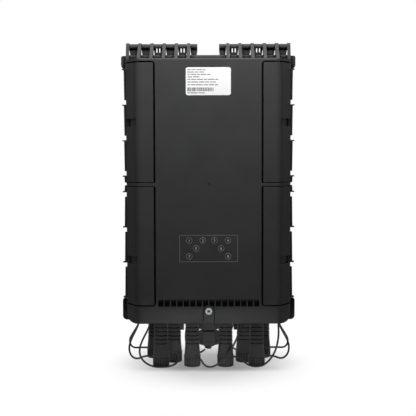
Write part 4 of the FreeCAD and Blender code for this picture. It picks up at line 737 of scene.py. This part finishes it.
class HUBBOX_OT_print_label(bpy.types.Operator):
    """Finish the label and print rows of plain bars and a block of upright ones on it"""
    bl_idname = "hubbox.print_label"
    bl_label = "Print the label"

    def execute(self, context):
        chosen = context.scene.hub_finishes
        sizes = context.scene.hub_print
        dress(film("label_film", chosen.label_colour, roughness=0.4), "rating_label")
        low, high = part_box("rating_label")
        depth = INK_PROUD + INK_SUNK
        middle_y = low.y + depth / 2 - INK_PROUD
        tree = bar_growth()
        places, shapes = [], []
        for below, lengths in LABEL_ROWS:
            x = low.x + sizes.label_margin
            for length in lengths:
                places.append((x + length * MM / 2, middle_y, high.z - below * MM))
                shapes.append((length * MM, depth, sizes.row_height))
                x += length * MM + sizes.row_gap
        ink = film("label_row_ink", chosen.row_colour, roughness=0.5)
        mesh = grown("label_rows", places, tree, {"Finish": ink}, shapes)
        add_piece("label_rows", mesh, "cover")
        chance = random.Random(BAR_SEED)
        places, shapes = [], []
        x = low.x + sizes.label_margin
        stop = x + sizes.bar_reach
        while x < stop:
            width = sizes.bar_width * chance.choice(BAR_WIDTHS)
            places.append((x + width / 2, middle_y, high.z - sum(BAR_BLOCK) / 2 * MM))
            shapes.append((width, depth, (BAR_BLOCK[1] - BAR_BLOCK[0]) * MM))
            x += width + sizes.bar_width * chance.choice(BAR_GAPS)
        ink = film("label_block_ink", chosen.ink_colour, roughness=0.5)
        mesh = grown("label_block", places, tree, {"Finish": ink}, shapes)
        add_piece("label_block", mesh, "cover")
        return {"FINISHED"}


class HUBBOX_OT_print_port_map(bpy.types.Operator):
    """Print the map of the ports on the cover: an outline, a ring for each port and its number"""
    bl_idname = "hubbox.print_port_map"
    bl_label = "Print the port map"

    def execute(self, context):
        chosen = context.scene.hub_finishes
        sizes = context.scene.hub_print
        paint = film("port_map_paint", chosen.mark_colour, roughness=0.45)
        front_y, back_y = COVER_FACE_Y - INK_PROUD, COVER_FACE_Y + INK_SUNK
        middle_y = (front_y + back_y) / 2
        places = [(x * MM, middle_y, sizes.map_height + z * MM) for x, z in PORT_PLACES]
        numbers = bmesh.new()
        for index, place in enumerate(places, start=1):
            number = number_mesh(str(index), sizes.number_height, sizes.number_weight)
            number.transform(Matrix.Translation(Vector(place)))
            numbers.from_mesh(number)
        number_paint = film("port_number_paint", chosen.number_colour, roughness=0.45)
        add_piece("port_numbers", painted_mesh("port_numbers", numbers, number_paint), "cover")
        ring_values = {"Radius": sizes.ring_radius, "Line": sizes.map_line, "Thickness": back_y - front_y,
                       "Finish": paint}
        rings = grown("port_rings", places, ring_growth(), ring_values)
        shape = bmesh.new()
        shape.from_mesh(rings)
        half_width, half_height = sizes.map_width / 2, sizes.map_depth / 2
        outer = rounded_outline(half_width, half_height, sizes.map_corner)
        inner = rounded_outline(half_width - sizes.map_line, half_height - sizes.map_line,
                                sizes.map_corner - sizes.map_line)
        flat_band(shape, outer, inner, sizes.map_height, front_y, back_y)
        add_piece("port_map", painted_mesh("port_map", shape, paint), "cover")
        return {"FINISHED"}


class HUBBOX_OT_bridge_grooves(bpy.types.Operator):
    """Cross the upright groove on each side with a web between the two side panels"""
    bl_idname = "hubbox.bridge_grooves"
    bl_label = "Bridge the grooves"

    def execute(self, context):
        sizes = context.scene.hub_bridges
        outline = web_outline(sizes.groove_width / 2, sizes.height / 2, sizes.flare)
        shape = bmesh.new()
        for side in (-1, 1):
            layers = []
            for y in (COVER_FACE_Y, COVER_FACE_Y + sizes.groove_depth):
                layers.append([shape.verts.new((side * (sizes.groove_place + x), y, sizes.place + z))
                               for x, z in outline])
            front, back = layers
            shape.faces.new(front)
            shape.faces.new(back)
            for index in range(len(outline)):
                shape.faces.new((front[index - 1], front[index], back[index], back[index - 1]))
        shell = NODES["cover_shell"].material_slots[0].material
        add_piece("groove_bridges", painted_mesh("groove_bridges", shape, shell), "cover")
        return {"FINISHED"}


class HUBBOX_OT_cut_threads(bpy.types.Operator):
    """Wind the threads that show on the adapters, the gland and the captive screw"""
    bl_idname = "hubbox.cut_threads"
    bl_label = "Cut the threads"

    def execute(self, context):
        sizes = context.scene.hub_threads
        tree = thread_growth()
        plastic = NODES["port_adapter_1"].material_slots[0].material
        metal = NODES["cover_screw"].material_slots[0].material
        starts = [below_top(name, sizes.port_reach) for name in numbered("port_adapter")]
        port_values = {"Radius": sizes.port_radius, "Length": sizes.port_reach - sizes.ridge,
                       "Turns": sizes.port_reach / sizes.port_pitch, "Ridge": sizes.ridge, "Finish": plastic}
        mesh = grown("port_threads", starts, tree, port_values)
        add_piece("port_threads", mesh, "base")
        gland_values = dict(port_values, Radius=sizes.gland_radius,
                            Turns=sizes.port_reach / sizes.gland_pitch)
        start = below_top("feeder_gland_body", sizes.port_reach)
        mesh = grown("gland_thread", [start], tree, gland_values)
        add_piece("gland_thread", mesh, "base")
        low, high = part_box("cover_screw")
        screw_values = {"Radius": sizes.screw_radius, "Length": sizes.screw_reach - sizes.ridge,
                        "Turns": sizes.screw_reach / sizes.screw_pitch, "Ridge": sizes.ridge,
                        "Lean": (-QUARTER_TURN, 0.0, 0.0), "Finish": metal}
        start = ((low.x + high.x) / 2, high.y - sizes.screw_reach, (low.z + high.z) / 2)
        mesh = grown("screw_thread", [start], tree, screw_values)
        add_piece("screw_thread", mesh, "cover_screw")
        return {"FINISHED"}


# Stage
def soft_box(name, power, place, target, width, height, spread, glint):
    """Rectangular lamp that no view shows; spread narrows its beam, and glint shows it in gloss."""
    light = bpy.data.lights.new(name, "AREA")
    light.shape = "RECTANGLE"
    light.size = width
    light.size_y = height
    light.energy = power
    light.spread = spread
    lamp = bpy.data.objects.new(name, light)
    lamp.location = place
    lamp.rotation_euler = (Vector(target) - Vector(place)).to_track_quat("-Z", "Y").to_euler()
    lamp.visible_camera = False
    lamp.visible_glossy = glint
    bpy.context.scene.collection.objects.link(lamp)


def seen_directly(tree):
    """1 for rays that show the background: from the camera, off metal and through glass."""
    path = add_node(tree, "ShaderNodeLightPath").outputs
    seen = path["Is Camera Ray"]
    for kind in ("Is Glossy Ray", "Is Transmission Ray"):
        either = add_node(tree, "ShaderNodeMath", {0: seen, 1: path[kind]}, operation="MAXIMUM")
        seen = either.outputs["Value"]
    return seen


def stage_finish(name, colour, bounce, near, far):
    """Pale paper that keeps the object's shadows, with painted shade that greys it towards the object and
    turns plain white further out.
    """
    material = bpy.data.materials.new(name)
    material.use_nodes = True
    tree = material.node_tree
    tree.nodes.remove(tree.nodes["Principled BSDF"])
    place = stretched(tree, add_node(tree, "ShaderNodeTexCoord").outputs["Object"], SHADOW_SHAPE)
    reach = add_node(tree, "ShaderNodeVectorMath", {0: place}, operation="LENGTH").outputs["Value"]
    # Painted shade: the paper is greyer the nearer the object, lit or not, and LEAST_WHITE of white glow
    # stays under it
    fade = add_node(tree, "ShaderNodeMapRange", {"Value": reach, "From Min": near, "From Max": far,
                                                 "To Min": LEAST_WHITE},
                    interpolation_type="SMOOTHSTEP").outputs["Result"]
    seen = seen_directly(tree)
    share = add_node(tree, "ShaderNodeMath", {0: fade, 1: seen}, operation="MULTIPLY")
    shown = blend_colours(tree, seen, bounce, colour)
    matt = add_node(tree, "ShaderNodeBsdfDiffuse", {"Color": shown})
    white = add_node(tree, "ShaderNodeEmission", {"Color": WHITE, "Strength": 1.0})
    mixed = add_node(tree, "ShaderNodeMixShader", {
        0: share.outputs["Value"], 1: matt.outputs["BSDF"], 2: white.outputs["Emission"]})
    tree.links.new(mixed.outputs["Shader"], tree.nodes["Material Output"].inputs["Surface"])
    return material


def stage_sheet(name, corners, material):
    """Flat sheet that belongs to the stage and not to the object."""
    mesh = bpy.data.meshes.new(name)
    mesh.from_pydata(corners, [], [tuple(range(len(corners)))])
    mesh.materials.append(material)
    sheet = bpy.data.objects.new(name, mesh)
    bpy.context.scene.collection.objects.link(sheet)


class HUBBOX_OT_set_stage(bpy.types.Operator):
    """Set the camera, the soft light and the floor"""
    bl_idname = "hubbox.set_stage"
    bl_label = "Set the stage"

    def execute(self, context):
        chosen = context.scene.hub_stage
        lens = bpy.data.cameras.new("camera")
        lens.sensor_width = SENSOR_WIDTH
        lens.lens = chosen.camera_lens
        camera = bpy.data.objects.new("camera", lens)
        lean = Matrix.Rotation(QUARTER_TURN - chosen.camera_pitch, 4, "X")
        roll = Matrix.Rotation(chosen.camera_roll, 4, "Z")
        camera.matrix_world = Matrix.Translation(chosen.camera_place) @ lean @ roll
        context.scene.collection.objects.link(camera)
        context.scene.camera = camera
        powers = (chosen.key_power, chosen.top_power, chosen.foot_power, chosen.band_power,
                  chosen.back_power, chosen.back_power)
        for (name, setting), power in zip(SOFT_BOXES.items(), powers):
            soft_box(name, power, *setting)
        room = context.scene.world or bpy.data.worlds.new("room")
        context.scene.world = room
        room.use_nodes = True
        light = room.node_tree
        shown = blend_colours(light, seen_directly(light), chosen.room_colour, WHITE)
        light.links.new(shown, light.nodes["Background"].inputs["Color"])
        light.nodes["Background"].inputs["Strength"].default_value = 1.0
        paper = stage_finish("floor_paper", chosen.floor_colour, chosen.bounce_colour, SHADOW_NEAR,
                             SHADOW_FAR)
        stage_sheet("floor", [(x * FLOOR_HALF, y * FLOOR_HALF, FLOOR_Z) for x, y in FLOOR_CORNERS], paper)
        context.scene.view_settings.view_transform = "Standard"
        return {"FINISHED"}


class HUBBOX_PT_panel(bpy.types.Panel):
    """Steps and settings of the hub box"""
    bl_idname = "HUBBOX_PT_panel"
    bl_label = "Hub box"
    bl_space_type = "VIEW_3D"
    bl_region_type = "UI"
    bl_category = "Hub box"

    def draw(self, context):
        for step in STEPS:
            self.layout.operator(step.bl_idname)
        for name in SETTINGS:
            group = getattr(context.scene, name)
            section = self.layout.box()
            for setting in group.__annotations__:
                section.prop(group, setting)


STEPS = (
    HUBBOX_OT_finish_shells,
    HUBBOX_OT_finish_ports,
    HUBBOX_OT_finish_metal,
    HUBBOX_OT_finish_inside,
    HUBBOX_OT_hang_tethers,
    HUBBOX_OT_print_label,
    HUBBOX_OT_print_port_map,
    HUBBOX_OT_bridge_grooves,
    HUBBOX_OT_cut_threads,
    HUBBOX_OT_set_stage,
)
SETTINGS = {
    "hub_finishes": HubFinishes,
    "hub_tethers": HubTethers,
    "hub_print": HubPrint,
    "hub_bridges": HubBridges,
    "hub_threads": HubThreads,
    "hub_stage": HubStage,
}
CLASSES = (*SETTINGS.values(), *STEPS, HUBBOX_PT_panel)


def register():
    for item in CLASSES:
        bpy.utils.register_class(item)
    for name, group in SETTINGS.items():
        setattr(bpy.types.Scene, name, bpy.props.PointerProperty(type=group))


def unregister():
    for name in SETTINGS:
        delattr(bpy.types.Scene, name)
    for item in reversed(CLASSES):
        bpy.utils.unregister_class(item)


def main():
    register()
    bpy.ops.hubbox.finish_shells()
    bpy.ops.hubbox.finish_ports()
    bpy.ops.hubbox.finish_metal()
    bpy.ops.hubbox.finish_inside()
    bpy.ops.hubbox.hang_tethers()
    bpy.ops.hubbox.print_label()
    bpy.ops.hubbox.print_port_map()
    bpy.ops.hubbox.bridge_grooves()
    bpy.ops.hubbox.cut_threads()
    bpy.ops.hubbox.set_stage()


if __name__ == "__main__":
    main()
